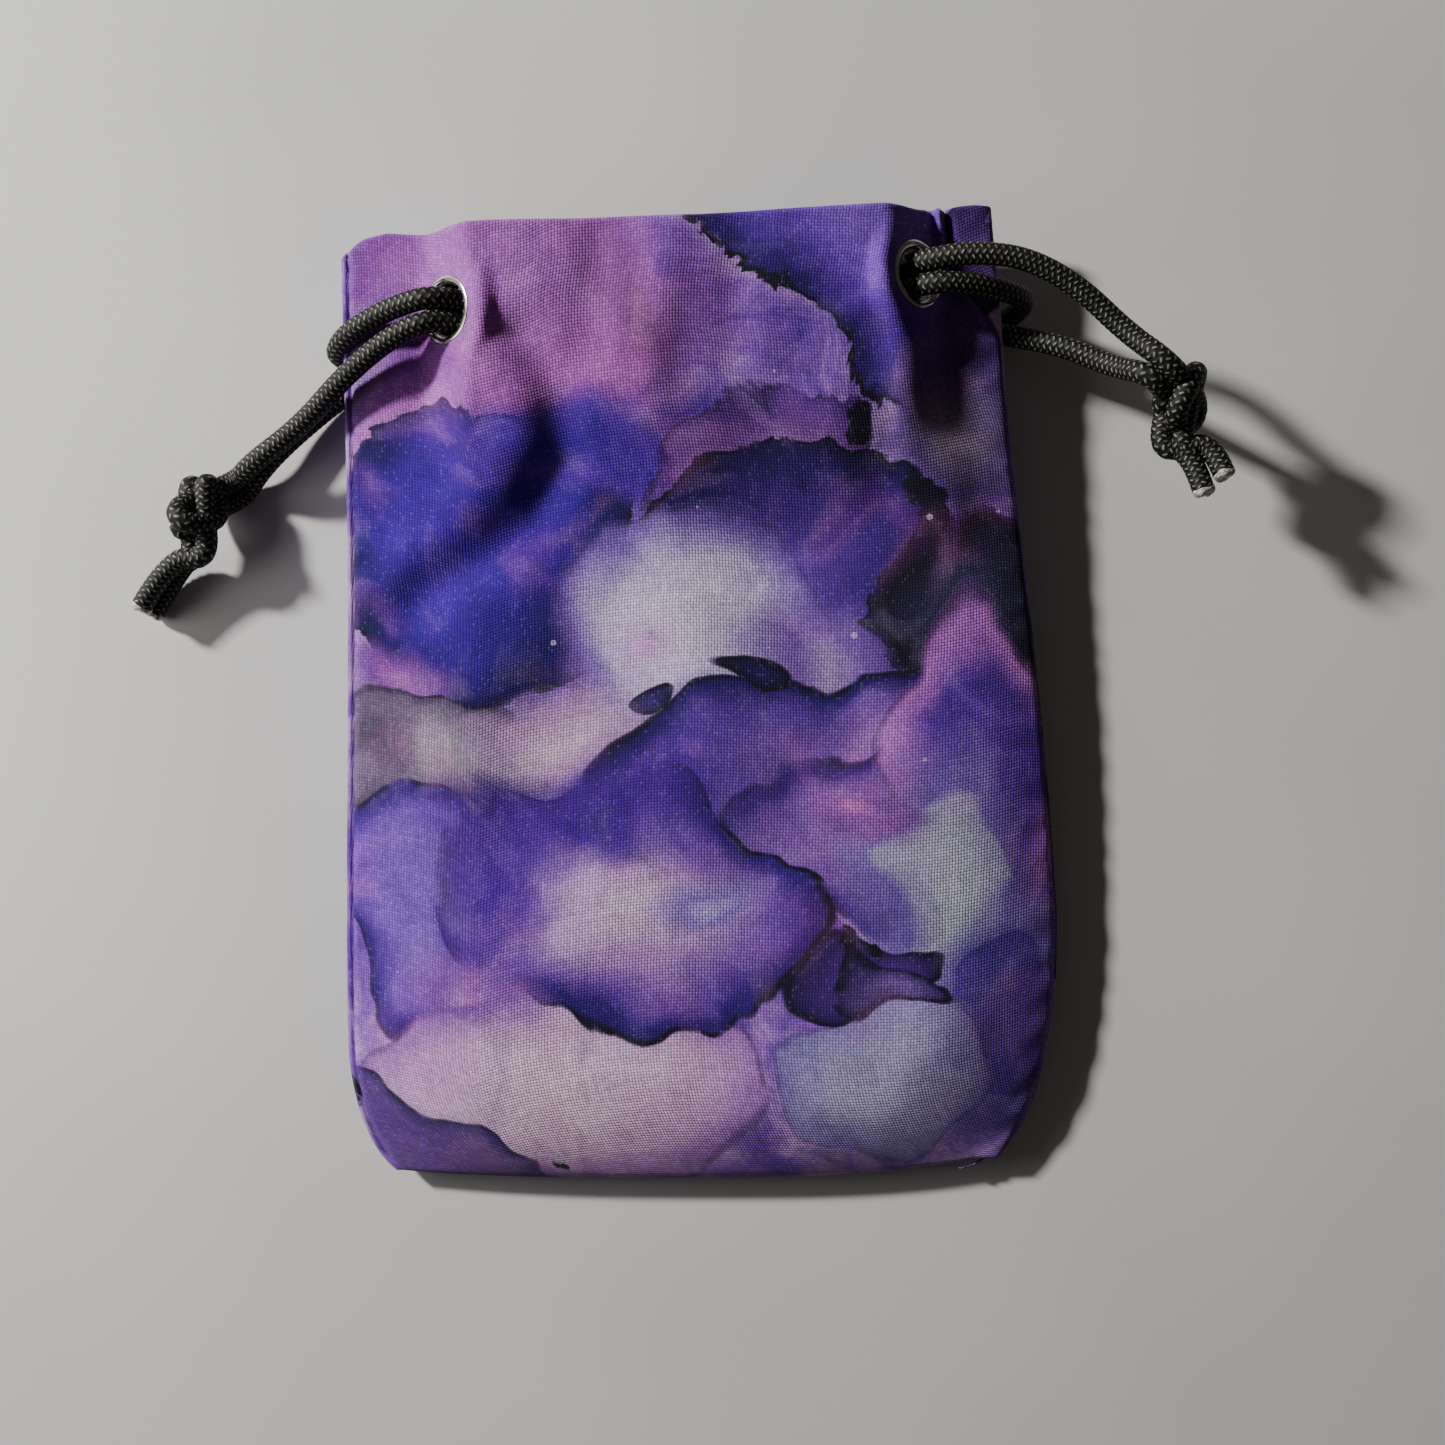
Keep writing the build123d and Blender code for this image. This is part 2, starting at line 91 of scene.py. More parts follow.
# ---- cords
# The route of each cord, as the points that its line follows. The two cords lie side by side in every eyelet.
ROUTES = {
    "left_front_strand": [
        (-26.0, 64.9, 16.67), (-33.98, 64.3, 16.64), (-40.17, 63.75, 11.87), (-45.78, 63.47, 18.77),
        (-52.5, 61.3, 17.6), (-61.7, 54.9, 14.4), (-70.5, 46.6, 10.4), (-79.9, 40.2, 8.6),
    ],
    "left_back_strand": [
        (-26.0, 56.9, 8.27), (-33.98, 56.3, 8.24), (-42.34, 55.35, 10.89), (-44.5, 55.7, 2.26),
        (-53.2, 56.2, 2.1), (-62.8, 55.0, 2.6), (-71.2, 48.2, 3.2), (-78.9, 40.2, 4.6),
    ],
    "right_front_strand": [
        (19.0, 72.15, 16.84), (26.98, 72.75, 16.87), (32.37, 73.23, 12.26), (37.98, 73.53, 19.17),
        (45.8, 74.1, 21.0), (54.5, 73.0, 21.3), (63.3, 68.2, 20.6), (71.6, 60.6, 19.9),
    ],
    "right_back_strand": [
        (19.0, 64.15, 8.44), (26.98, 64.75, 8.47), (34.55, 65.06, 11.07), (36.63, 65.61, 2.75),
        (44.2, 66.6, 4.7), (51.4, 63.6, 6.9), (61.5, 60.8, 11.6), (70.4, 56.0, 15.0),
    ],
    "right_cord_loop": [
        (-26.0, 68.76, 16.67), (-33.98, 68.16, 16.64), (-40.17, 67.6, 12.02), (-45.78, 67.33, 18.93),
        (-52.3, 66.2, 16.9), (-58.6, 63.8, 14.6), (-63.2, 61.4, 11.4), (-65.2, 59.6, 6.9),
        (-61.2, 59.2, 2.6), (-53.5, 59.9, 2.1), (-44.5, 59.56, 2.42), (-42.34, 59.21, 11.04),
        (-33.98, 60.16, 8.24), (-26.0, 60.76, 8.27),
    ],
    "left_cord_loop": [
        (19.0, 68.28, 16.84), (26.98, 68.88, 16.87), (32.77, 69.39, 12.11), (38.38, 69.69, 19.01),
        (45.0, 69.6, 18.4), (51.4, 69.0, 15.6), (55.6, 68.9, 11.2), (55.7, 68.0, 6.3),
        (51.6, 65.4, 2.4), (44.6, 62.2, 2.0), (37.1, 61.79, 2.3), (34.94, 61.22, 10.92),
        (26.98, 60.88, 8.47), (19.0, 60.28, 8.44),
    ],
    "left_cord_front_run": [(-26.0, 64.9, 16.67), (-4.0, 66.55, 16.75), (19.0, 68.28, 16.84)],
    "left_cord_back_run": [(-26.0, 56.9, 8.27), (-4.0, 58.55, 8.35), (19.0, 60.28, 8.44)],
    "right_cord_front_run": [(-26.0, 68.76, 16.67), (-4.0, 70.42, 16.75), (19.0, 72.15, 16.84)],
    "right_cord_back_run": [(-26.0, 60.76, 8.27), (-4.0, 62.42, 8.35), (19.0, 64.15, 8.44)],
}
TAILS = {
    "left_front_strand": [(-93.9, 24.6, 7.0), (-99.6, 15.9, 5.7)],
    "left_back_strand": [(-93.3, 23.6, 3.0), (-98.8, 15.0, 2.0)],
    "right_front_strand": [(86.0, 43.2, 17.3), (87.9, 37.4, 18.9)],
    "right_back_strand": [(82.6, 41.8, 17.2), (84.6, 34.6, 18.3)],
}
# Each end's overhand knot: centre, direction from its strands to its tails, turn about that direction, and the
# side of the pair's middle line on which the front strand starts
KNOTS = {
    "left": ((-88.9, 32.4, 7.2), (-0.66, -0.75, -0.1), 2.2, (-0.9, 1.05, 1.35)),
    "right": ((80.4, 49.9, 18.0), (0.55, -0.82, -0.1), -1.0, (0.9, 1.05, 1.35)),
}
KNOT_SIZE = (1.4, 1.3, 0.36)    # millimetres to one unit of the knot's curve, across, up and along
KNOT_SPAN, KNOT_POINTS = 2.08, 15       # the stretch of the curve that is used, to both sides, and its points
PAIR_OFFSET = 1.75              # from the pair's middle line to each strand's


def unit(v):
    return np.asarray(v, float) / np.linalg.norm(v)


def units(v):
    return v / np.linalg.norm(v, axis=1, keepdims=True)


def spokes(angle, across, up):
    """The directions at these angles round one line, or round each of many."""
    return np.cos(angle)[:, None] * across[..., None, :] + np.sin(angle)[:, None] * up[..., None, :]


def spline_points(points):
    """The smooth line that a cord follows, in small steps, from the control points of its NURBS curve."""
    curve = bpy.data.curves.new("route", "CURVE")
    curve.dimensions = "3D"
    spline = curve.splines.new("NURBS")
    spline.points.add(len(points) - 1)
    for point, place in zip(spline.points, points):
        point.co = (*(c * MM for c in place), 1)
    spline.order_u = 3
    spline.use_endpoint_u = True
    spline.resolution_u = 64
    obj = bpy.data.objects.new("route", curve)
    mesh = bpy.data.meshes.new_from_object(obj)
    line = np.array([v.co[:] for v in mesh.vertices]) / MM
    bpy.data.objects.remove(obj)
    bpy.data.curves.remove(curve)
    bpy.data.meshes.remove(mesh)
    return line


def evenly(line, step):
    """The same line with evenly spaced points, and how far along each one is."""
    length = np.concatenate([[0], np.cumsum(np.linalg.norm(np.diff(line, axis=0), axis=1))])
    at = np.linspace(0, length[-1], max(2, round(length[-1] / step)) + 1)
    return np.stack([np.interp(at, length, line[:, k]) for k in range(3)], 1), at


def frames(line):
    """Two directions across the line at each point, which never twist."""
    along = units(np.gradient(line, axis=0))
    side = np.cross(along[0], (0, 0, 1))
    sides = []
    for t in along:
        side = side - t * (side @ t)
        side /= np.linalg.norm(side)
        sides.append(side)
    sides = np.array(sides)
    return sides, np.cross(along, sides)


def quads(rows, cols, closed=False):
    """The faces of a grid of points, row by row. A closed grid joins its last column to its first."""
    r, c = np.meshgrid(np.arange(rows - 1), np.arange(cols if closed else cols - 1), indexing="ij")
    n = (c + 1) % cols
    return np.stack([r * cols + c, r * cols + n, (r + 1) * cols + n, (r + 1) * cols + c], -1).reshape(-1, 4)


def new_piece(name, vertices, faces, uvs=None, uv_name="Cloth", normals=None, more_uvs=None):
    """A smooth mesh from points in millimetres. uvs has one pair for each corner of each face, in order."""
    mesh = bpy.data.meshes.new(name)
    faces = [tuple(int(k) for k in f) for f in faces]
    mesh.from_pydata((np.asarray(vertices, float) * MM).tolist(), [], faces)
    mesh.polygons.foreach_set("use_smooth", [True] * len(mesh.polygons))
    for layer_name, values in ((uv_name, uvs), *(more_uvs or ())):
        if values is not None:
            mesh.uv_layers.new(name=layer_name).data.foreach_set("uv", np.asarray(values, np.float32).ravel())
    if normals is not None:
        mesh.normals_split_custom_set_from_vertices(np.asarray(normals, float).tolist())
    mesh.update()
    obj = bpy.data.objects.new(name, mesh)
    bpy.context.scene.collection.objects.link(obj)
    return obj


def knot_points(end, sign):
    """The way of one strand through the overhand knot that both strands tie together."""
    centre, towards, turn, pair = KNOTS[end]
    along = unit(towards)
    across = unit(np.cross(along, (0, 0, 1)))
    up = np.cross(across, along)
    across, up = across * math.cos(turn) + up * math.sin(turn), up * math.cos(turn) - across * math.sin(turn)
    t = np.linspace(-KNOT_SPAN, KNOT_SPAN, KNOT_POINTS)
    x, y, z = t**3 - 3 * t, t**4 - 4 * t**2 + 2, t**5 - 10 * t
    sx, sy, sz = KNOT_SIZE
    middle = np.asarray(centre) + np.outer(x * sx, across) + np.outer(y * sy, up) + np.outer(z * sz, along)
    direction = units(np.gradient(middle, axis=0))
    beside, found = np.asarray(pair, float), []
    for d, m in zip(direction, middle):
        beside = beside - d * (beside @ d)
        beside = PAIR_OFFSET * unit(beside)
        found.append(m + sign * beside)
    return [tuple(p) for p in found]


def tube(name, line):
    """A braided cord: two sets of strands that cross over and under each other. u goes round and v along."""
    ring = 48
    around = np.arange(ring) / ring
    line, at = evenly(line, 0.2)
    side, up = frames(line)
    s = at[:, None]
    a, b = STRANDS * around[None] + s / BRAID_PITCH, STRANDS * around[None] - s / BRAID_PITCH
    over = (np.floor(a) + np.floor(b)) % 2 < 1
    fa, fb = a - np.floor(a) - 0.5, b - np.floor(b) - 0.5
    wide, long = np.where(over, fa, fb), np.where(over, fb, fa)
    pillow = np.sqrt(np.maximum(np.cos(np.pi * wide * 0.96), 0)) * (0.55 + 0.45 * np.cos(np.pi * long))
    soft = 1 + 0.02 * np.sin(at / 4.1)[:, None] * np.cos(2 * np.pi * around + at[:, None] / 9)
    r = CORD / 2 * (0.925 * soft + 0.085 * pillow)
    angle = 2 * np.pi * around
    points = line[:, None] + r[..., None] * spokes(angle, side, up)
    rows = len(line)
    faces = quads(rows, ring, True)
    u = np.concatenate([around, [1.0]])
    uv_grid = np.stack(np.meshgrid(u, at / CORD_UNIT, indexing="xy"), -1)
    uvs = uv_grid.reshape(-1, 2)[quads(rows, ring + 1)]
    vertices = points.reshape(-1, 3)
    caps, cap_uvs = [], []
    for row, flip in ((0, True), (rows - 1, False)):
        hub = len(vertices)
        vertices = np.vstack([vertices, line[row][None]])
        for k in range(ring):
            pair = (row * ring + k, row * ring + (k + 1) % ring)
            caps.append((pair[1], pair[0], hub) if flip else (pair[0], pair[1], hub))
            cap_uvs += [(u[k], at[row] / CORD_UNIT)] * 3
    every = [tuple(f) for f in faces] + caps
    return new_piece(name, vertices, every, np.concatenate([uvs.reshape(-1, 2), cap_uvs]), "Cord"), line


ROUTE_LINES = {}
for cord_name, route in ROUTES.items():
    points = list(route)
    if cord_name.endswith("strand"):
        points += knot_points(cord_name.split("_")[0], 1 if "front" in cord_name else -1) + TAILS[cord_name]
    ROUTE_LINES[cord_name] = spline_points(points)


# ---- the cloth's shape
MOUTH_EDGE = [(-64, 75.4), (-62, 76.6), (-59.5, 78.3), (-55, 79.2), (-48, 78.5), (-36, 79.1), (-18, 79.5),
              (-1, 79.9), (14, 80.9), (27, 81.7), (36, 82.3), (42, 83.2), (47, 84.3), (52, 84.8)]
# Folds, as the points of a line, then the width and the height
FRONT_FOLDS = [
    ((-38, 60), (-31.5, 53), (-31, 44), (-36, 36), (-44, 30), (-54, 23), 5.0, 1.35),
    ((-31, 60), (-25, 51), (-24, 41), (-30, 30), (-39, 23), (-50, 16), 4.5, -1.6),
    ((-33, 70), (-14, 60), 6.0, 0.9), ((-46, 56), (-53, 42), 4.0, -0.7),
    ((22, 66), (10, 46), 7.0, -0.8), ((30, 60), (31, 34), 5.0, -1.2), ((40, 58), (43, 30), 4.0, 0.8),
    ((-6, 30), (2, -8), 9.0, 0.9), ((14, 22), (26, -6), 8.0, -0.9), ((-22, 6), (-36, -26), 9.0, -0.8),
    ((-12, -20), (-30, -52), 10.0, 0.7), ((10, -30), (4, -62), 8.0, -0.7), ((30, -20), (44, -56), 8.0, 0.6),
    ((-6, 77), (-9, 50), 4.5, 0.9), ((6, 78), (5, 56), 4.0, -0.7), ((-18, 77), (-20, 58), 4.0, -0.8),
]
BACK_FOLDS = [
    ((-30, 60), (-12, 34), 6.0, 1.2), ((26, 64), (12, 40), 6.0, 1.1), ((0, 70), (2, 44), 5.0, -0.9),
    ((-44, 30), (-30, 4), 7.0, 0.8), ((40, 24), (30, -6), 7.0, 0.7),
]


def smooth(t):
    t = np.clip(t, 0, 1)
    return t * t * (3 - 2 * t)


def bump(t):
    return np.exp(-(t**2))


def corner(y, reach, rise):
    """How far in the side edge is at a rounded bottom corner."""
    share = np.clip((BOTTOM + rise - y) / rise, 0, 1)
    return reach * (1 - np.sqrt(1 - 0.9995 * share**2))


def left_edge(y):
    return -63.15 + corner(y, *LEFT_CORNER) + 0.35 * np.sin(y / 23 + 0.6)


def right_edge(y):
    wave = 0.45 * np.sin(y / 17 + 1.9) * smooth((70 - y) / 20)
    return 62.7 - 13 / 126 * np.maximum(0, y + 40) - corner(y, *RIGHT_CORNER) + wave


def seam_height(y):
    return 3.5 + (y - BOTTOM) * math.tan(math.radians(2.3))


def wrap(y):
    """How far the back comes round onto the front on the right: most at the mouth."""
    return 0.5 + 7.9 * smooth((y - 61) / 14)


def hills(x, y, cell, seed):
    """Soft random hills between -1 and 1, about one to each cell."""
    grid = np.random.default_rng(seed).uniform(-1, 1, (64, 64))
    gx, gy = x / cell + 32, y / cell + 32
    ix, iy = np.floor(gx).astype(int), np.floor(gy).astype(int)
    fx, fy = smooth(gx - ix), smooth(gy - iy)
    low = grid[ix % 64, iy % 64] * (1 - fx) + grid[(ix + 1) % 64, iy % 64] * fx
    high = grid[ix % 64, (iy + 1) % 64] * (1 - fx) + grid[(ix + 1) % 64, (iy + 1) % 64] * fx
    return low * (1 - fy) + high * fy


def folds(x, y, lines):
    """The height that all the folds add together."""
    total = np.zeros_like(x)
    for *points, width, height in lines:
        away = np.full_like(total, 1e9)
        for (x0, y0), (x1, y1) in zip(points, points[1:]):
            dx, dy = x1 - x0, y1 - y0
            t = np.clip(((x - x0) * dx + (y - y0) * dy) / (dx * dx + dy * dy), 0, 1)
            away = np.minimum(away, np.hypot(x - x0 - t * dx, y - y0 - t * dy))
        total += height * bump(away / width)
    return total


def from_sides(x, y):
    """How far in from the left and from the right edge a point is, square to the edge."""
    step = 0.05
    left_slope = (left_edge(y + step) - left_edge(y - step)) / (2 * step)
    right_slope = (right_edge(y + step) - right_edge(y - step)) / (2 * step)
    left = (x - left_edge(y)) / np.sqrt(1 + left_slope**2)
    right = (right_edge(y) - x) / np.sqrt(1 + right_slope**2)
    return np.maximum(left, 0), np.maximum(right, 0)


def rounded(d):
    """How far the cloth is off the seam's middle at a distance from the edge: a quarter circle, then level."""
    return EDGE_ROUND * np.sqrt(1 - (1 - np.clip(d / EDGE_ROUND, 0, 1)) ** 2)


def flat_at_eyelets(x, y, height, side):
    """The cloth lies in each eyelet's own plane round it."""
    for name in ("left_" + side, "right_" + side):
        (ex, ey, ez), (nx, ny, nz) = EYELETS[name]
        away = np.hypot((x - ex) / nz, y - ey)
        plane = ez - ((x - ex) * nx + (y - ey) * ny) / nz
        share = 1 - smooth((away - FLAT_RADIUS) / FLAT_FADE)
        height = height * (1 - share) + plane * share
    return height


def rise_share(d, fin, mouth):
    """How far up from the seam towards the full height, from 0 to 1."""
    body = 1 - (1 - np.clip(d / 27, 0, 1)) ** 2.1
    band = 0.24 * np.clip(d / fin, 0, 1) ** 0.8 + 0.76 * smooth((d - fin + 0.6) / 10.6)
    return body * (1 - mouth) + band * mouth


def top_height(x, y):
    """The outer face of the cloth seen from above: the front, and the strips of the back beside it."""
    left, right = from_sides(x, y)
    near = np.minimum(left, right)
    up = above_bottom(x, y)
    mouth = smooth((y - 24) / 30)
    seam = seam_height(y)
    full = (BODY_HEIGHT - seam) * np.sin(np.clip(up / 24, 0, 1) * np.pi / 2) ** 0.75
    full = full * (1 - mouth) + MOUTH_RISE * mouth
    rise = full * rise_share(left, FIN["left"], mouth) * rise_share(right, FIN["right"], mouth)
    relief = folds(x, y, FRONT_FOLDS) + 0.42 * hills(x, y, 19, 3) + 0.16 * hills(x, y, 7.5, 8)
    relief = relief * smooth(near / 12) * smooth(up / 14)
    pucker = 0.13 * np.sin(y / 1.2 + 2 * hills(x, y, 9, 5)) * bump((near - 2) / 2.2) * smooth(up / 6)
    height = flat_at_eyelets(x, y, seam + rise + relief, "front") + pucker
    height += np.minimum(rounded(near), rounded(up))
    at_mouth = smooth((y - 60) / 14)
    height -= 0.5 * bump((left - STRIP) / 0.5) * smooth((up - 1) / 5)
    height -= (0.25 + 0.9 * at_mouth) * bump((right - wrap(y)) / 0.55) * smooth(up / 5)
    height -= 1.1 * at_mouth * bump((right - wrap(y) - 2.5) / 0.5)
    height += 0.8 * at_mouth * bump((right - wrap(y) - 1.2) / 0.8)
    return height


def under_height(x, y):
    """The outer face of the cloth on the underside."""
    left, right = from_sides(x, y)
    near = np.minimum(left, right)
    up = above_bottom(x, y)
    mouth = smooth((y - 22) / 30)
    seam = seam_height(y)
    full = (seam - 0.2) * np.sin(np.clip(up / 15, 0, 1) * np.pi / 2) ** 0.8
    full = full * (1 - mouth) + MOUTH_DROP * mouth
    lie = 1 - (1 - np.clip(near / 23, 0, 1)) ** 1.3
    relief = (folds(x, y, BACK_FOLDS) + 0.35 * hills(x, y, 16, 11)) * smooth(near / 10)
    height = seam - full * lie + relief * (0.15 + 0.85 * mouth)
    height = flat_at_eyelets(x, y, height, "back")
    return np.maximum(height - np.minimum(rounded(near), rounded(up)), 0.05)


def bottom_lift(x, y):
    """The bottom edge rises towards both corners."""
    near = np.clip((-56 - y) / 30, 0, 1) ** 1.6
    return near * (3.4 * np.clip((x - 6) / 42, 0, 1) ** 2.2 + 1.3 * np.clip((-x - 22) / 32, 0, 1) ** 2)


def above_bottom(x, y):
    """How far up the cloth a point is from the bottom edge."""
    row = y
    for _ in range(6):
        row = y - bottom_lift(x, row)
    return np.maximum(row - BOTTOM, 0)


def row_y(x, row):
    """Where a row of the grid lies: it follows the mouth's edge at the top and rises at the bottom corners."""
    y = row - (TOP - np.interp(x, *zip(*MOUTH_EDGE))) * smooth((row - 20) / 66)
    return y + bottom_lift(x, row)


def spread(first, last, step, fine, ends):
    """Places from first to last, closer together near the ends that are named."""
    total, places = last - first, [0.0]
    while places[-1] < total - 1e-6:
        near = min(places[-1] if "first" in ends else 1e9, total - places[-1] if "last" in ends else 1e9)
        places.append(places[-1] + min(step, max(fine, fine + 0.35 * near)))
    places = np.array(places)
    return first + places * (total / places[-1])


ROWS = spread(BOTTOM, TOP, CLOTH_STEP, 0.12, ("first", "last"))
LEFT_SHARES = spread(0, 1, CLOTH_STEP / HALF_WIDTH, 0.1 / HALF_WIDTH, ("first",))
RIGHT_SHARES = spread(0, 1, CLOTH_STEP / HALF_WIDTH, 0.1 / HALF_WIDTH, ("last",))


def grid_between(left_of, right_of, rows=None):
    """x and y of a grid whose columns run from left_of(y) through the split to right_of(y)."""
    row = (ROWS if rows is None else rows)[:, None]
    shares = np.concatenate([LEFT_SHARES - 1, RIGHT_SHARES[1:]])[None]
    y = row + 0 * shares
    for _ in range(3):
        low, high = left_of(y), right_of(y)
        x = np.where(shares < 0, SPLIT_X + shares * (SPLIT_X - low), SPLIT_X + shares * (high - SPLIT_X))
        y = row_y(x, row)
    return x, y, len(LEFT_SHARES) - 1


def lengths_along(points, axis):
    steps = np.linalg.norm(np.diff(points, axis=axis), axis=2)
    start = np.zeros_like(np.take(steps, [0], axis=axis))
    return np.concatenate([start, np.cumsum(steps, axis=axis)], axis=axis)


def surface_normals(points):
    n = np.cross(np.gradient(points, axis=1), np.gradient(points, axis=0))
    return n / np.maximum(np.linalg.norm(n, axis=2, keepdims=True), 1e-9)


def roll_mouth(points, depth):
    """Turns the cloth in at the mouth: rows that go round the edge and a little way back inside."""
    normals = surface_normals(points)
    edge, n = points[-1], normals[-1]
    on = points[-1] - points[-3]
    on = units(on - n * (on * n).sum(1, keepdims=True))
    r = (depth / 2)[:, None]
    turns = np.radians([25, 50, 75, 100, 125, 150, 180])
    rows = [edge + r * (math.sin(a) * on - (1 - math.cos(a)) * n) for a in turns]
    rows += [rows[-1] - on * back for back in (0.5, 1.1, 1.8, 2.6)]
    return np.concatenate([points, np.stack(rows)])


def shell(name, points, thickness, cols, plan, holes):
    """A closed piece of cloth: the grid's columns in cols, an inner layer, and a rim round every edge."""
    normals = surface_normals(points)
    across, up = lengths_along(points, 1), lengths_along(points, 0)
    weave_uv = np.stack([across, up], -1) / WEAVE_UNIT
    points, normals, weave_uv, plan = (a[:, cols] for a in (points, normals, weave_uv, plan))
    rows, count = points.shape[0], points.shape[0] * points.shape[1]
    outer = points.reshape(-1, 3)
    faces = quads(rows, points.shape[1])
    middle = outer[faces].mean(1)
    for centre in holes:
        outside = np.linalg.norm(middle - np.asarray(centre), axis=1) > HOLE_RADIUS
        faces, middle = faces[outside], middle[outside]
    pairs = np.stack([faces, np.roll(faces, -1, axis=1)], -1).reshape(-1, 2)
    keys, back = pairs[:, 0] * count + pairs[:, 1], pairs[:, 1] * count + pairs[:, 0]
    border = pairs[~np.isin(keys, back)]
    rim = np.stack([border[:, 1], border[:, 0], border[:, 0] + count, border[:, 1] + count], -1)
    every = np.concatenate([faces, faces[:, ::-1] + count, rim])
    vertices = np.concatenate([outer, outer - normals.reshape(-1, 3) * thickness])
    used = np.unique(every)
    place = np.full(2 * count, -1)
    place[used] = np.arange(len(used))
    double = [np.concatenate([a.reshape(-1, a.shape[-1])] * 2) for a in (plan, weave_uv)]
    facing = np.concatenate([normals.reshape(-1, 3), -normals.reshape(-1, 3)])[used]
    uvs, weaves = (a[every].reshape(-1, 2) for a in double)
    return new_piece(name, vertices[used], place[every], uvs, "Cloth", facing, [("Weave", weaves)])


def plan_uv(x, y):
    return np.stack([x / PRINT_UNIT + 0.5, y / PRINT_UNIT + 0.5], -1)


def halves(split, count):
    return {"left": slice(0, split + 1), "right": slice(split, count)}


def add_cloth(side, kind, half, points, thickness, cols, plan):
    name = f"{side}_{kind}_{half}"
    holes = [EYELETS[eyelet][0] for eyelet in EYELETS if eyelet.endswith(side)]
    cloth[name] = shell(name, points, thickness, cols, plan, holes)


def carried_on(plan, rolled, unit_length):
    """The print's coordinates with the rows added that are turned in at the mouth."""
    extra = len(rolled) - len(plan)
    plan = np.concatenate([plan, np.repeat(plan[-1:], extra, 0)])
    plan[-extra:, :, 1] += (np.arange(1, extra + 1) * TURN_STEP / unit_length)[:, None]
    return plan


def front_right(y):
    return right_edge(y) - wrap(y)


def front_left(y):
    return left_edge(y) + STRIP * np.sqrt(1 + ((left_edge(y + 0.05) - left_edge(y - 0.05)) / 0.1) ** 2)


cloth = {}
x, y, split = grid_between(front_left, front_right)
front = np.stack([x, y, top_height(x, y)], -1)
edge_gap = np.minimum(*from_sides(x[-1], y[-1]))
rolled = roll_mouth(front, 0.6 + 0.9 * smooth(edge_gap / 5))
plan = carried_on(plan_uv(x, y), rolled, PRINT_UNIT)
for half, cols in halves(split, x.shape[1]).items():
    add_cloth("front", "panel", half, rolled, FABRIC, cols, plan)

# The back goes round both side edges: it starts and ends on top, at the front's two seams.
x, y, split = grid_between(left_edge, right_edge)
under = np.stack([x, y, under_height(x, y)], -1)
row = ROWS[:, None]


def strip(edge, inner):
    """Part of the back that shows from above, from the seam in shares of 1 down to 0 at the side edge."""
    shares = np.array([1, 0.86, 0.72, 0.58, 0.45, 0.34, 0.25, 0.17, 0.1, 0.05, 0.015])[None]
    sy = row + 0 * shares
    for _ in range(3):
        sx = edge(sy) + (inner(sy) - edge(sy)) * shares
        sy = row_y(sx, row)
    return np.stack([sx, sy, top_height(sx, sy)], -1)


left_strip, right_strip = strip(left_edge, front_left), strip(right_edge, front_right)
side_edges = [under[:, :1].copy(), under[:, -1:].copy()]
for side_edge in side_edges:
    side_edge[..., 2] = seam_height(side_edge[..., 1])
back = np.concatenate([left_strip, side_edges[0], under[:, 1:-1], side_edges[1], right_strip[:, ::-1]], 1)
back = back[:, ::-1]
back_split = back.shape[1] - 1 - (left_strip.shape[1] + split)
edge_gap = np.minimum(*from_sides(back[-1, :, 0], back[-1, :, 1]))
rolled = roll_mouth(back, 0.55 + 0.95 * smooth(edge_gap / 5))
across = lengths_along(back, 1)
across = across - across[:, back_split][:, None]
plan = carried_on(np.stack([across, back[..., 1]], -1), rolled, 1)
plan = np.stack([0.5 + (plan[..., 0] + 9) / PRINT_UNIT, 0.5 - (plan[..., 1] + 6) / PRINT_UNIT], -1)
for half, cols in {"right": slice(0, back_split + 1), "left": slice(back_split, back.shape[1])}.items():
    add_cloth("back", "panel", half, rolled, FABRIC, cols, plan)


# ---- linings
LINING_ROWS = spread(BOTTOM + 3.2, TOP - 1.3, 1.3, 0.6, ("first", "last"))
for side, height, sign in (("front", top_height, 1), ("back", under_height, -1)):
    x, y, split = grid_between(lambda v: left_edge(v) + 4, lambda v: right_edge(v) - 4, LINING_ROWS)
    lining = np.stack([x, y, height(x, y)], -1)
    lining = lining - sign * surface_normals(lining) * LINING_DEPTH
    lining[..., 2] -= sign * 0.1 * (1 + hills(x, y, 5, 21))
    plan = plan_uv(x, y)
    parts = halves(split, x.shape[1])
    if side == "back":
        lining, plan = lining[:, ::-1], plan[:, ::-1]
        last = x.shape[1] - 1
        parts = {"right": slice(0, last - split + 1), "left": slice(last - split, last + 1)}
    for half, cols in parts.items():
        add_cloth(side, "lining", half, lining, LINING, cols, plan)


# ---- round pieces
def turned(name, profile, eyelet_name):
    """A ring turned about an eyelet's axis from (radius, height) points, closed on itself."""
    centre, out = (np.asarray(v) for v in EYELETS[eyelet_name])
    out = unit(out)
    across = unit(np.cross((0, 1, 0), out))
    up = np.cross(out, across)
    around = 96
    angle = np.linspace(0, 2 * np.pi, around, endpoint=False)
    profile = np.asarray(profile, float)
    points = centre + profile[:, None, :1] * spokes(angle, across, up)[None] + profile[:, None, 1:] * out
    rows = len(profile)
    faces = quads(rows + 1, around, True) % (rows * around)
    grid = quads(rows + 1, around + 1)
    u, v = np.meshgrid(np.linspace(0, 1, around + 1), np.linspace(0, 1, rows + 1))
    uvs = np.stack([u, v], -1).reshape(-1, 2)[grid]
    return new_piece(name, points.reshape(-1, 3), faces, uvs.reshape(-1, 2), "Ring")


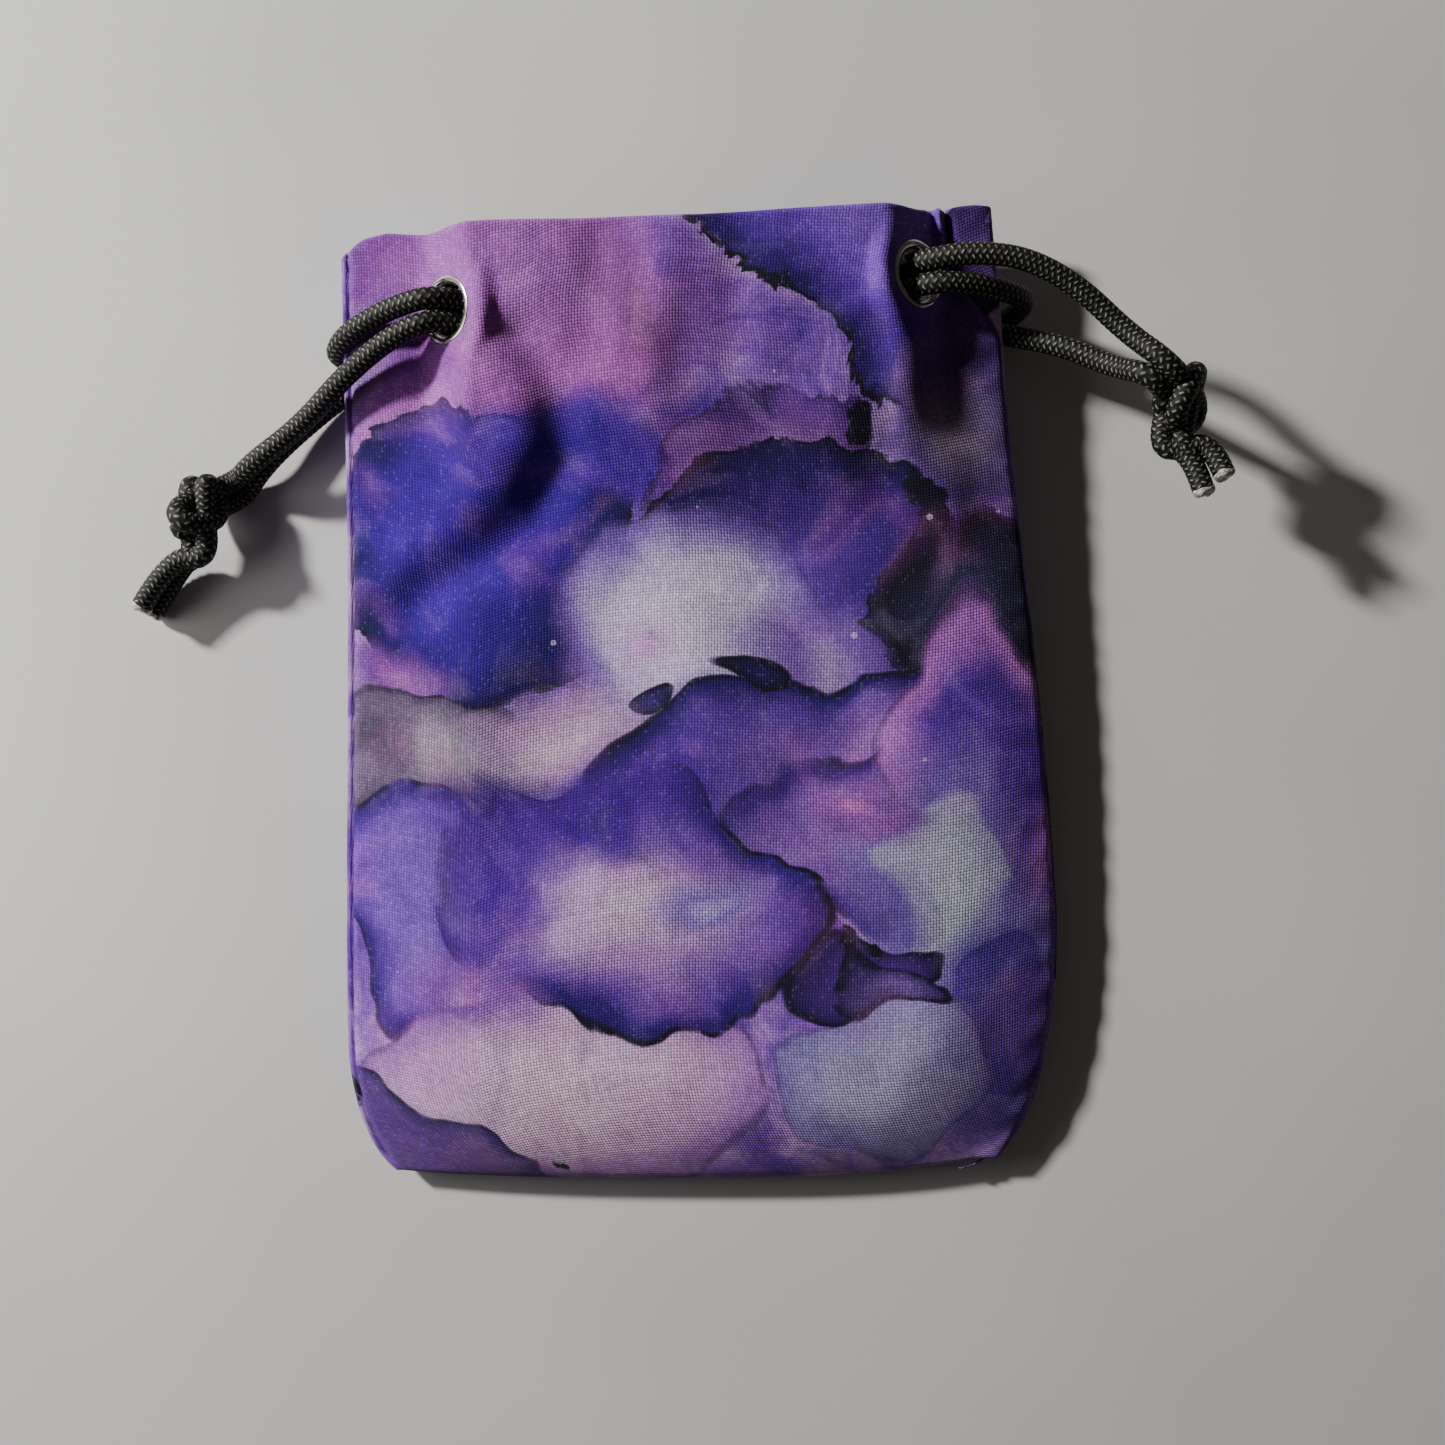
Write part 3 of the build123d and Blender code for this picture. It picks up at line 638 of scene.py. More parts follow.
def rounded_profile(corners, radius, steps):
    """The closed outline with its corners rounded, each given by three points of a curve."""
    corners, found = np.asarray(corners, float), []
    radius = np.broadcast_to(radius, len(corners))
    for k, here in enumerate(corners):
        before, after = corners[k - 1], corners[(k + 1) % len(corners)]
        a = here + unit(before - here) * min(radius[k], 0.45 * np.linalg.norm(before - here))
        b = here + unit(after - here) * min(radius[k], 0.45 * np.linalg.norm(after - here))
        for t in np.linspace(0, 1, steps):
            found.append((1 - t) ** 2 * a + 2 * t * (1 - t) * here + t**2 * b)
    return found


EYELET_OUTLINE = [(4.3, -2.0), (4.95, -2.1), (5.42, -1.95), (5.42, -1.76), (4.64, -1.74), (4.64, 0.04),
                  (6.08, 0.04), (6.1, 0.45), (5.55, 0.9), (4.85, 0.9), (4.3, 0.4)]
EYELET_SOFT = [0.1, 0.15, 0.08, 0.05, 0.03, 0.03, 0.04, 0.35, 0.5, 0.5, 0.5]
WASHER_OUTLINE = [(4.72, -1.7), (5.68, -1.7), (5.68, -1.22), (4.72, -1.22)]
metal = {}
for name in EYELETS:
    flange_and_barrel = rounded_profile(EYELET_OUTLINE, EYELET_SOFT, 6)[::-1]
    metal[name + "_eyelet"] = turned(name + "_grommet", flange_and_barrel, name)
    metal[name + "_washer"] = turned(name + "_washer_ring", rounded_profile(WASHER_OUTLINE, 0.12, 4), name)


def melted_tip(name, line, seed):
    """The cut end of a cord, melted into a low uneven dome."""
    rng = np.random.default_rng(seed)
    out = unit(line[-1] - line[-8])
    across = unit(np.cross(out, (0.3, 0.2, 1)))
    up = np.cross(out, across)
    ring = 40
    angle = np.linspace(0, 2 * np.pi, ring, endpoint=False)
    phases = rng.uniform(0, 6.28, 4)
    profile = [(1.35, -0.5), (1.72, -0.2), (1.86, 0.15), (1.84, 0.5), (1.7, 0.8), (1.4, 1.02), (0.95, 1.12),
               (0.45, 1.08)]
    points = []
    for r, h in profile:
        lumps = 1 + 0.05 * np.sin(3 * angle + phases[0]) + 0.035 * np.sin(5 * angle + phases[1] + h)
        rise = h + 0.16 * max(h, 0) * np.sin(2 * angle + phases[2]) + 0.05 * np.sin(6 * angle + phases[3])
        points.append(line[-1] + (r * lumps)[:, None] * spokes(angle, across, up) + rise[:, None] * out)
    points = np.concatenate([*points, (line[-1] + 0.95 * out)[None], (line[-1] - 0.5 * out)[None]])
    hub = len(profile) * ring
    last = hub - ring
    faces = [tuple(f) for f in quads(len(profile), ring, True)]
    faces += [(last + k, last + (k + 1) % ring, hub) for k in range(ring)]
    faces += [((k + 1) % ring, k, hub + 1) for k in range(ring)]
    uvs = [(0.5 + 0.1 * v[0], 0.5 + 0.1 * v[1]) for f in faces for v in (points[i] - line[-1] for i in f)]
    return new_piece(name, points, faces, uvs, "Cord")


def thread_line(name, first, last):
    """Running stitches inside the seam, between two places along it counted from the left of the mouth."""
    mouth, left_rise, right_rise = 84, LEFT_CORNER[1], RIGHT_CORNER[1]
    side_ys = np.linspace(mouth, BOTTOM + left_rise, 200)
    corner_ys = BOTTOM + left_rise * (1 - np.sin(np.linspace(0.02, 1.53, 60)))
    ys = np.concatenate([side_ys, corner_ys])
    left = np.stack([left_edge(ys), ys], -1)
    corner_ys = BOTTOM + right_rise * (1 - np.cos(np.linspace(0.02, 1.56, 70)))
    side_ys = np.linspace(BOTTOM + right_rise + 1, mouth, 200)
    ys = np.concatenate([corner_ys, side_ys])
    right = np.stack([right_edge(ys), ys], -1)
    outline = np.concatenate([left, right])
    inwards = np.gradient(outline, axis=0)
    inwards = units(np.stack([-inwards[:, 1], inwards[:, 0]], -1))
    flat = outline + THREAD_INSET * inwards
    flat = flat[(flat[:, 0] >= first - 0.2) & (flat[:, 0] <= last + 0.2)]
    line = np.stack([flat[:, 0], flat[:, 1], seam_height(flat[:, 1])], -1)
    line[:, 1] = np.minimum(line[:, 1], row_y(line[:, 0], mouth - 1 + 0 * line[:, 1]))
    line, at = evenly(line, 0.5)
    line[:, 2] += 0.12 * np.sin(2 * np.pi * at / STITCH)
    side, up = frames(line)
    sides = 8
    angle = np.linspace(0, 2 * np.pi, sides, endpoint=False)
    twist = 1 + 0.12 * np.cos(2 * angle[None] - at[:, None] * 5)
    points = line[:, None] + THREAD_RADIUS * twist[..., None] * spokes(angle, side, up)
    faces = [tuple(f) for f in quads(len(line), sides, True)]
    faces += [tuple(range(sides - 1, -1, -1)), tuple((len(line) - 1) * sides + k for k in range(sides))]
    uvs = [(i % sides / sides, at[i // sides] / CORD_UNIT) for f in faces for i in f]
    return new_piece(name, points.reshape(-1, 3), faces, uvs, "Cord")


thread = {
    "left": thread_line("seam_thread_left", -70, SPLIT_X),
    "right": thread_line("seam_thread_right", SPLIT_X, 70),
}

# ---- the cords' meshes
cords, tips = {}, {}
for cord_name, line in ROUTE_LINES.items():
    if cord_name.endswith("run"):
        middle = line[:, 0] <= SPLIT_X + 0.02
        cords[cord_name + "_left"], _ = tube(cord_name + "_left", line[middle])
        cords[cord_name + "_right"], _ = tube(cord_name + "_right", line[np.flatnonzero(middle)[-1]:])
        continue
    cords[cord_name], ROUTE_LINES[cord_name] = tube("braided_" + cord_name, line)
    if cord_name.endswith("strand"):
        tip_name, seed = cord_name.replace("strand", "melted_tip"), len(tips) + 5
        tips[cord_name] = melted_tip(tip_name, ROUTE_LINES[cord_name], seed)


# ---- materials
def linear(*colour):
    return tuple(c / 12.92 if c <= 0.04045 else ((c + 0.055) / 1.055) ** 2.4 for c in colour) + (1,)


class Material:
    """Adds nodes to a material by short calls. A number or a socket may be given for each input."""

    def __init__(self, name, **settings):
        self.material = bpy.data.materials.new(name)
        self.material.use_nodes = True
        self.tree = self.material.node_tree
        self.shader = self.tree.nodes["Principled BSDF"]
        for key, value in settings.items():
            self.shader.inputs[key.replace("_", " ")].default_value = value

    def node(self, kind, *values, **settings):
        made = self.tree.nodes.new("ShaderNode" + kind)
        for key, value in settings.items():
            setattr(made, key, value)
        for socket, value in zip(made.inputs, values):
            self.give(socket, value)
        return made

    def give(self, socket, value):
        if isinstance(value, bpy.types.NodeSocket):
            self.tree.links.new(value, socket)
        elif value is not None:
            socket.default_value = value

    def math(self, operation, a, b=None, c=None):
        return self.node("Math", a, b, c, operation=operation).outputs[0]

    def times(self, a, b):
        return self.math("MULTIPLY", a, b)

    def plus(self, a, b):
        return self.math("ADD", a, b)

    def scaled(self, a, by, plus):
        return self.math("MULTIPLY_ADD", a, by, plus)

    def floor(self, a):
        return self.math("FLOOR", a)

    def vector(self, operation, a, b=None, c=None):
        made = self.node("VectorMath", a, b, c, operation=operation)
        return made.outputs["Value"] if operation in ("LENGTH", "DOT_PRODUCT") else made.outputs[0]

    def mix(self, share, a, b, blend="MIX"):
        made = self.node("Mix", data_type="RGBA", blend_type=blend)
        for index, value in ((0, share), (6, a), (7, b)):
            self.give(made.inputs[index], value)
        return made.outputs[2]

    def noise(self, place, scale, detail=2.0, rough=0.5, distort=0.0, output=0):
        made = self.node("TexNoise", noise_dimensions="2D")
        for key, value in (("Vector", place), ("Scale", scale), ("Detail", detail), ("Roughness", rough),
                           ("Distortion", distort)):
            self.give(made.inputs[key], value)
        return made.outputs[output]

    def ramp(self, value, stops):
        made = self.node("ValToRGB", value)
        elements = made.color_ramp.elements
        while len(elements) < len(stops):
            elements.new(0.5)
        for element, (place, colour) in zip(elements, stops):
            element.position = place
        for element, (place, colour) in zip(elements, stops):
            element.color = colour
        return made

    def mapped(self, value, low, high, to_low=0.0, to_high=1.0):
        return self.node("MapRange", value, low, high, to_low, to_high).outputs[0]

    def uv(self, name, scale, shift=0.0):
        place = self.node("UVMap", uv_map=name).outputs[0]
        return self.vector("MULTIPLY_ADD", place, (scale,) * 3, (shift,) * 3)

    def bump(self, height, distance, strength=1.0):
        made = self.node("Bump")
        self.give(made.inputs["Height"], height)
        made.inputs["Distance"].default_value = distance * MM
        made.inputs["Strength"].default_value = strength
        self.tree.links.new(made.outputs[0], self.shader.inputs["Normal"])

    def colour(self, socket):
        self.give(self.shader.inputs["Base Color"], socket)

    def roughness(self, socket):
        self.give(self.shader.inputs["Roughness"], socket)


THREAD_PITCH = 0.52


def weave(m, uv):
    """A plain weave's height from 0 to 1, a random number for each crossing, and the place in threads."""
    xy = m.node("SeparateXYZ", uv)
    x, y = (m.math("DIVIDE", xy.outputs[k], THREAD_PITCH) for k in (0, 1))
    ix, iy = m.floor(x), m.floor(y)
    turn = m.math("FLOORED_MODULO", m.plus(ix, iy), 2.0)
    hx = m.math("ABSOLUTE", m.math("SINE", m.times(x, math.pi)))
    hy = m.math("ABSOLUTE", m.math("SINE", m.times(y, math.pi)))
    warp = m.times(m.math("POWER", hx, 0.6), m.scaled(hy, 0.5, 0.5))
    weft = m.times(m.math("POWER", hy, 0.6), m.scaled(hx, 0.5, 0.5))
    height = m.plus(m.times(warp, turn), m.times(weft, m.math("SUBTRACT", 1.0, turn)))
    cell = m.node("CombineXYZ", ix, iy, 0.0)
    dice = m.node("TexWhiteNoise", cell.outputs[0], noise_dimensions="2D").outputs[0]
    return height, dice, x, y


# Pools of ink, laid one over another: place, half sizes, turn in degrees, colours from the middle outwards in
# hundredths, how dark the dried rim is, whether the edge is crinkled, how softly it ends, and how far out the
# colours between the first and the last lie, where that isn't 0.6
INK_POOLS = [
    (-52, 74, 12, 9, 0, [(70, 66, 84), (62, 50, 76)], 0, 0, 0.35),
    (-30, 66, 36, 21, -4, [(62, 42, 66), (66, 44, 70), (56, 36, 66)], 0, 0, 0.2, 0.5),
    (-34, 71, 15, 9, 0, [(74, 54, 78), (66, 46, 72)], 0, 0, 0.6),
    (-10, 66, 9, 12, 20, [(62, 45, 60), (56, 38, 60)], 0, 0, 0.6),
    (29, 83, 48, 23, -44, [(56, 43, 76), (46, 33, 70), (28, 18, 52)], 1.3, 1, 0.02),
    (47, 44, 14, 19, 8, [(70, 62, 72), (60, 50, 66), (46, 38, 58)], 0, 0, 0.4),
    (-48, 44, 18, 10, 6, [(80, 62, 80), (70, 48, 74)], 0, 0, 0.35),
    (-42, 25, 29, 25, 12, [(34, 21, 68), (27, 16, 60), (15, 9, 40)], 1, 1, 0.02),
    (-22, 42, 28, 9, -6, [(30, 20, 62), (40, 26, 66)], 0, 0, 0.4),
    (-53, 4, 13, 5, 4, [(66, 44, 70), (52, 34, 64)], 0, 0, 0.4),
    (10, 42, 22, 10, 24, [(62, 46, 66), (46, 30, 62)], 0.5, 1, 0.03),
    (14, 22, 27, 23, 28, [(44, 32, 64), (34, 23, 56), (20, 12, 40)], 1.2, 1, 0.02),
    (-2, 12, 24, 19, 12, [(84, 82, 88), (76, 72, 84), (56, 46, 74)], 0.3, 0, 0.1),
    (-8, 9, 9, 5, 20, [(82, 66, 84), (76, 68, 82)], 0, 0, 0.5),
    (20, 6, 14, 13, -30, [(68, 60, 76), (54, 42, 70)], 0, 0, 0.5),
    (46, 14, 17, 13, 4, [(34, 32, 46), (24, 22, 36), (12, 10, 20)], 0.9, 1, 0.12, 0.5),
    (-44, -9, 21, 12, -3, [(70, 68, 72), (58, 53, 62), (44, 38, 50)], 0.8, 0, 0.03, 0.5),
    (-56, -8, 7, 9, 0, [(34, 30, 38), (46, 40, 50)], 0, 0, 0.5),
    (-22, -6, 15, 10, 10, [(80, 76, 82), (70, 60, 74)], 0, 0, 0.5),
    (16, -10, 38, 13, 15, [(56, 43, 70), (42, 30, 64), (24, 16, 48)], 0.9, 0, 0.02),
    (30, -6, 13, 8, 22, [(68, 50, 76), (54, 40, 70)], 0, 0, 0.5),
    (-8.6, -1.8, 3.6, 3.1, 0, [(26, 18, 48), (14, 9, 30)], 0.9, 0, 0.04),
    (8, 2.5, 4.2, 3, 0, [(24, 16, 46), (12, 8, 28)], 0.9, 0, 0.04),
    (-50, -38, 14, 22, 14, [(56, 46, 76), (50, 38, 72), (32, 22, 56)], 0.7, 0, 0.04, 0.7),
    (24, -24, 22, 17, 20, [(62, 48, 74), (52, 38, 68), (36, 24, 58)], 0.6, 0, 0.05, 0.7),
    (50, -12, 16, 27, 10, [(48, 34, 70), (42, 28, 66), (74, 52, 80)], 0.35, 0, 0.08),
    (40, -34, 17, 24, -14, [(76, 77, 82), (66, 64, 76), (52, 45, 70)], 0, 0, 0.3),
    (28, -18, 8, 9, 20, [(80, 54, 78), (64, 44, 72)], 0, 0, 0.6),
    (50, -56, 18, 20, 0, [(50, 42, 72), (42, 33, 66), (52, 46, 72)], 0, 0, 0.35),
    (31, -66, 17, 15, 0, [(72, 71, 80), (58, 54, 74)], 0.3, 0, 0.1),
    (-26, -70, 36, 19, 2, [(90, 82, 88), (82, 70, 84), (68, 52, 76)], 0.4, 0, 0.06),
    (-50, -80, 22, 10, -38, [(48, 34, 62), (36, 26, 52)], 0.8, 0, 0.04),
    (-14, -38, 33, 22, -6, [(86, 78, 86), (76, 64, 82), (54, 40, 72), (30, 19, 56)], 1, 0, 0.02, 0.4, 0.75),
    (-38, -34, 12, 16, 0, [(36, 22, 62), (44, 30, 66)], 0, 0, 0.6),
    (-18, -20, 22, 7, 8, [(26, 15, 52), (36, 22, 60)], 0, 0, 0.6),
    (0, -36, 9, 6, 10, [(74, 70, 88), (62, 54, 80)], 0, 0, 0.6),
    (-40, -53, 12, 7, -20, [(72, 54, 78), (60, 42, 72)], 0, 0, 0.6),
    (27, -47, 11, 5, 10, [(40, 26, 60), (26, 16, 42)], 0.9, 0, 0.04),
    (31, -50, 9, 3.2, -28, [(50, 40, 64), (34, 24, 50)], 0.9, 0, 0.05),
    (21, -44, 2, 1.6, 0, [(10, 7, 18), (6, 4, 12)], 0.6, 1, 0.1),
    (26, -43, 1.7, 1.3, 0, [(10, 7, 18), (6, 4, 12)], 0.6, 1, 0.1),
    (37, 30, 3.5, 7, 10, [(13, 10, 22), (7, 5, 14)], 0.6, 1, 0.15),
    (27, 50, 3, 4, 30, [(12, 9, 22), (7, 5, 14)], 0.6, 1, 0.15),
    (-27, -84, 1.6, 1.2, 0, [(12, 8, 20), (10, 6, 18)], 0.3, 1, 0.1),
]


def print_material():
    """Cotton printed with alcohol inks: pools with dark dried rims, a mottled wash, and the weave's relief."""
    m = Material("printed_cotton", Roughness=0.86, Sheen_Weight=0.12, Sheen_Roughness=0.5,
                 Specular_IOR_Level=0.25)
    place = m.uv("Cloth", PRINT_UNIT, -PRINT_UNIT / 2)

    def warped(source, scale, reach, detail=2.0):
        shift = m.noise(source, 1 / scale, detail, 0.55, output="Color")
        return m.vector("MULTIPLY_ADD", shift, (2 * reach,) * 3, m.vector("SUBTRACT", source, (reach,) * 3))

    calm = warped(warped(place, 26, 8, 0.5), 9, 3.0, 0.6)
    crinkled = warped(warped(calm, 4.2, 2.4, 3.0), 1.3, 0.7)
    calm = warped(calm, 2.6, 0.25)
    wash = m.noise(calm, 1 / 13, 4, 0.6)
    colour = m.ramp(wash, [(0.3, linear(0.36, 0.24, 0.62)), (0.5, linear(0.56, 0.42, 0.72)),
                           (0.7, linear(0.74, 0.62, 0.80))]).outputs[0]
    rim_mask = m.mapped(m.noise(place, 1 / 9, 2, 0.6), 0.30, 0.48, 0.12)
    for x, y, wide, high, turn, colours, rim, crinkle, soft, *inner in INK_POOLS:
        source = crinkled if crinkle else calm
        flat = m.node("Mapping", source, (x, y, 0), (0, 0, math.radians(turn)), (wide, high, 1))
        flat.vector_type = "TEXTURE"
        flat_xy = m.vector("MULTIPLY", flat.outputs[0], (1.0, 1.0, 0.0))
        out = m.times(m.vector("LENGTH", flat_xy), 0.5)
        places = [0, *(inner or [0.6] * (len(colours) - 2)), 0.9]
        stops = [(0.5 * at, linear(*(c / 100 for c in ink))) for at, ink in zip(places, colours)]
        last = stops[-1][1]
        start = 0.5 * (1 - soft)
        stops = [s for s in stops if s[0] < start - 0.001]
        stops += [(start, last), (0.5 + 0.5 * max(soft, 0.012) * 0.5, last[:3] + (0,))]
        fill = m.ramp(out, stops)
        colour = m.mix(fill.outputs["Alpha"], colour, fill.outputs["Color"])
        if rim:
            one_mm = 0.5 / min(wide, high)
            rim_grey = ((-3.2, 0), (-0.9, 0.3), (-0.35, 1), (0.1, 1), (0.4, 0))
            band = m.ramp(out, [(0.5 + mm * one_mm, (grey, grey, grey, 1)) for mm, grey in rim_grey])
            share = m.times(m.times(band.outputs[0], rim_mask), rim)
            colour = m.mix(share, colour, linear(0.07, 0.05, 0.19))
    # the wash inside every pool
    blot = m.noise(calm, 1 / 8.5, 4, 0.55)
    colour = m.mix(m.mapped(blot, 0.5, 0.75, 0, 0.14), colour, linear(0.80, 0.74, 0.88))
    colour = m.mix(m.mapped(blot, 0.47, 0.25, 0, 0.26), colour, linear(0.20, 0.12, 0.42))
    pink = m.noise(calm, 1 / 17, 2, 0.5)
    colour = m.mix(m.mapped(pink, 0.55, 0.75, 0, 0.18), colour, linear(0.76, 0.44, 0.72))
    dots = m.node("TexVoronoi", voronoi_dimensions="2D", feature="F1")
    m.give(dots.inputs["Vector"], place)
    m.give(dots.inputs["Scale"], 1 / 13)
    size = m.node("SeparateColor", dots.outputs["Color"]).outputs[0]
    dot = m.math("LESS_THAN", dots.outputs["Distance"], m.times(m.math("POWER", size, 9.0), 0.045))
    colour = m.mix(m.times(dot, 0.6), colour, linear(0.86, 0.80, 0.92))
    colour = m.node("Gamma", colour, 1.32).outputs[0]
    colour = m.node("HueSaturation", 0.505, 1.06, 1.2, 1.0, colour).outputs[0]
    # the weave: shade is painted into the low places between the threads, with a random tone for each crossing
    # and each thread
    threads = m.uv("Weave", WEAVE_UNIT)
    height, dice, tx, ty = weave(m, threads)
    weft_place = m.node("CombineXYZ", m.times(tx, 0.06), m.floor(ty), 0.0).outputs[0]
    weft_slub = m.noise(weft_place, 1.0, 1)
    warp_place = m.node("CombineXYZ", m.floor(tx), m.times(ty, 0.06), 0.0).outputs[0]
    warp_slub = m.noise(warp_place, 1.0, 1)
    # painted shade: the colour is darker where the weave is low, between the threads
    weave_shade_and_tone = m.scaled(height, 0.5, 0.58)
    weave_shade_and_tone = m.times(weave_shade_and_tone, m.scaled(dice, 0.34, 0.83))
    weave_shade_and_tone = m.times(weave_shade_and_tone, m.scaled(m.plus(weft_slub, warp_slub), 0.35, 0.65))
    tone = m.node("CombineColor", weave_shade_and_tone, weave_shade_and_tone, weave_shade_and_tone).outputs[0]
    colour = m.mix(1.0, colour, tone, "MULTIPLY")
    # pale specks on the tops of a few thread crossings
    bare = m.times(m.mapped(dice, 0.9, 1.0, 0, 0.07), height)
    colour = m.mix(bare, colour, linear(0.82, 0.78, 0.90))
    m.colour(colour)
    m.roughness(m.scaled(height, -0.08, 0.92))
    fuzz = m.noise(threads, 3.0, 3, 0.6)
    relief = m.plus(height, m.times(weft_slub, 0.5))
    relief = m.plus(relief, m.times(fuzz, 0.35))
    m.bump(relief, 0.11, 0.85)
    return m.material


def lining_material():
    m = Material("lining_cotton", Roughness=0.88, Sheen_Weight=0.1, Specular_IOR_Level=0.25)
    threads = m.uv("Weave", WEAVE_UNIT)
    height, dice, *_ = weave(m, threads)
    blot = m.noise(threads, 1 / 9, 3, 0.6)
    colour = m.mix(m.mapped(blot, 0.3, 0.7), linear(0.10, 0.09, 0.13), linear(0.15, 0.13, 0.19))
    # painted shade: darker where the weave is low, between the threads, with a random tone for each crossing
    share = m.times(m.scaled(height, 0.6, 0.4), m.scaled(dice, 0.4, 0.8))
    colour = m.mix(1.0, colour, m.node("CombineColor", share, share, share).outputs[0], "MULTIPLY")
    m.colour(colour)
    m.roughness(m.scaled(height, -0.06, 0.93))
    m.bump(height, 0.1, 0.8)
    return m.material


def paracord_material():
    """Black nylon sheath, with a highlight painted as a short pale streak on the strand on top of each
    crossing, and shade painted between the strands.
    """
    m = Material("paracord", Roughness=0.6, Specular_IOR_Level=0.28)
    uv = m.node("SeparateXYZ", m.node("UVMap", uv_map="Cord").outputs[0])
    around = m.times(uv.outputs[0], STRANDS)
    along = m.times(uv.outputs[1], CORD_UNIT / BRAID_PITCH)
    a, b = m.plus(around, along), m.math("SUBTRACT", around, along)
    over = m.math("FLOORED_MODULO", m.plus(m.floor(a), m.floor(b)), 2.0)
    fa, fb = (m.math("ABSOLUTE", m.math("SUBTRACT", m.math("FRACT", v), 0.5)) for v in (a, b))
    wide = m.node("Mix", over, data_type="FLOAT")
    long = m.node("Mix", over, data_type="FLOAT")
    for made, first, second in ((wide, fa, fb), (long, fb, fa)):
        m.give(made.inputs[2], first)
        m.give(made.inputs[3], second)
    wide, long = wide.outputs[0], long.outputs[0]
    cell = m.node("CombineXYZ", m.floor(a), m.floor(b), 0.0).outputs[0]
    dice = m.node("TexWhiteNoise", cell, noise_dimensions="2D").outputs[0]
    # painted highlight: a short pale streak along the strand on top of each crossing
    painted_highlight = m.times(m.mapped(wide, 0.165, 0.08), m.mapped(long, 0.37, 0.25))
    painted_highlight = m.times(painted_highlight, m.scaled(dice, 0.6, 0.4))
    fibre = m.noise(uv.inputs[0].links[0].from_socket, 90.0, 2)
    base = m.mix(m.mapped(fibre, 0.35, 0.7), linear(0.02, 0.02, 0.02), linear(0.05, 0.05, 0.048))
    # painted shade: near black in the low places between the strands
    painted_gap_shade = m.times(m.mapped(wide, 0.36, 0.5), 0.8)
    base = m.mix(painted_gap_shade, base, linear(0.01, 0.01, 0.01))
    m.colour(m.mix(painted_highlight, base, linear(0.52, 0.52, 0.47)))
    m.roughness(m.scaled(painted_highlight, -0.15, 0.62))
    m.bump(m.scaled(fibre, 0.4, m.times(wide, -1.5)), 0.1, 0.6)
    return m.material


def nickel_material():
    m = Material("nickel", Metallic=1.0)
    uv = m.node("UVMap", uv_map="Ring").outputs[0]
    marks = m.noise(m.vector("MULTIPLY", uv, (14.0, 70.0, 1.0)), 1.0, 4, 0.7)
    smears = m.noise(m.vector("MULTIPLY", uv, (5.0, 3.0, 1.0)), 1.0, 2)
    m.colour(m.mix(m.mapped(smears, 0.3, 0.7), linear(0.70, 0.69, 0.67), linear(0.84, 0.83, 0.81)))
    m.roughness(m.plus(m.mapped(marks, 0.35, 0.7, 0.10, 0.26), m.mapped(smears, 0.4, 0.7, 0, 0.08)))
    m.bump(marks, 0.01, 0.5)
    return m.material


def melted_material():
    m = Material("melted_nylon", Specular_IOR_Level=0.5)
    uv = m.node("UVMap", uv_map="Cord").outputs[0]
    blot = m.noise(uv, 16.0, 4, 0.6, 0.8)
    m.colour(m.ramp(blot, [(0.34, linear(0.30, 0.30, 0.28)), (0.46, linear(0.66, 0.66, 0.62)),
                           (0.7, linear(0.82, 0.82, 0.78))]).outputs[0])
    m.roughness(m.mapped(blot, 0.3, 0.7, 0.5, 0.28))
    m.bump(blot, 0.12, 0.7)
    return m.material


def thread_material():
    m = Material("thread", Roughness=0.6)
    uv = m.node("SeparateXYZ", m.node("UVMap", uv_map="Cord").outputs[0])
    turns = m.times(uv.outputs[0], 4 * math.pi)
    ply = m.math("SINE", m.plus(m.times(uv.outputs[1], 60.0), turns))
    # painted shade: darker in the grooves of the twist, lighter on its crests
    m.colour(m.mix(m.mapped(ply, -1, 1), linear(0.16, 0.10, 0.28), linear(0.32, 0.22, 0.48)))
    m.roughness(m.mapped(ply, -1, 1, 0.7, 0.5))
    m.bump(ply, 0.05, 0.6)
    return m.material


def floor_material():
    m = Material("floor", Specular_IOR_Level=0.5)
    place = m.vector("SCALE", m.node("TexCoord").outputs["Object"], None)
    place.node.inputs["Scale"].default_value = 1000.0
    grain = m.noise(place, 1 / 1.6, 4, 0.6)
    broad = m.noise(place, 1 / 90, 2, 0.5)
    colour = m.mix(m.mapped(broad, 0.3, 0.7), linear(0.80, 0.80, 0.80), linear(0.83, 0.83, 0.825))
    m.colour(colour)
    m.roughness(m.mapped(grain, 0.3, 0.7, 0.28, 0.38))
    m.bump(grain, 0.02, 0.35)
    return m.material


MATERIALS = {
    "printed_cotton": print_material(),
    "lining_cotton": lining_material(),
    "paracord": paracord_material(),
    "nickel": nickel_material(),
    "melted_nylon": melted_material(),
    "thread": thread_material(),
}


def finish_piece(obj, slot, *nodes):
    obj.data.materials.append(MATERIALS[slot])
    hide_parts(*nodes)
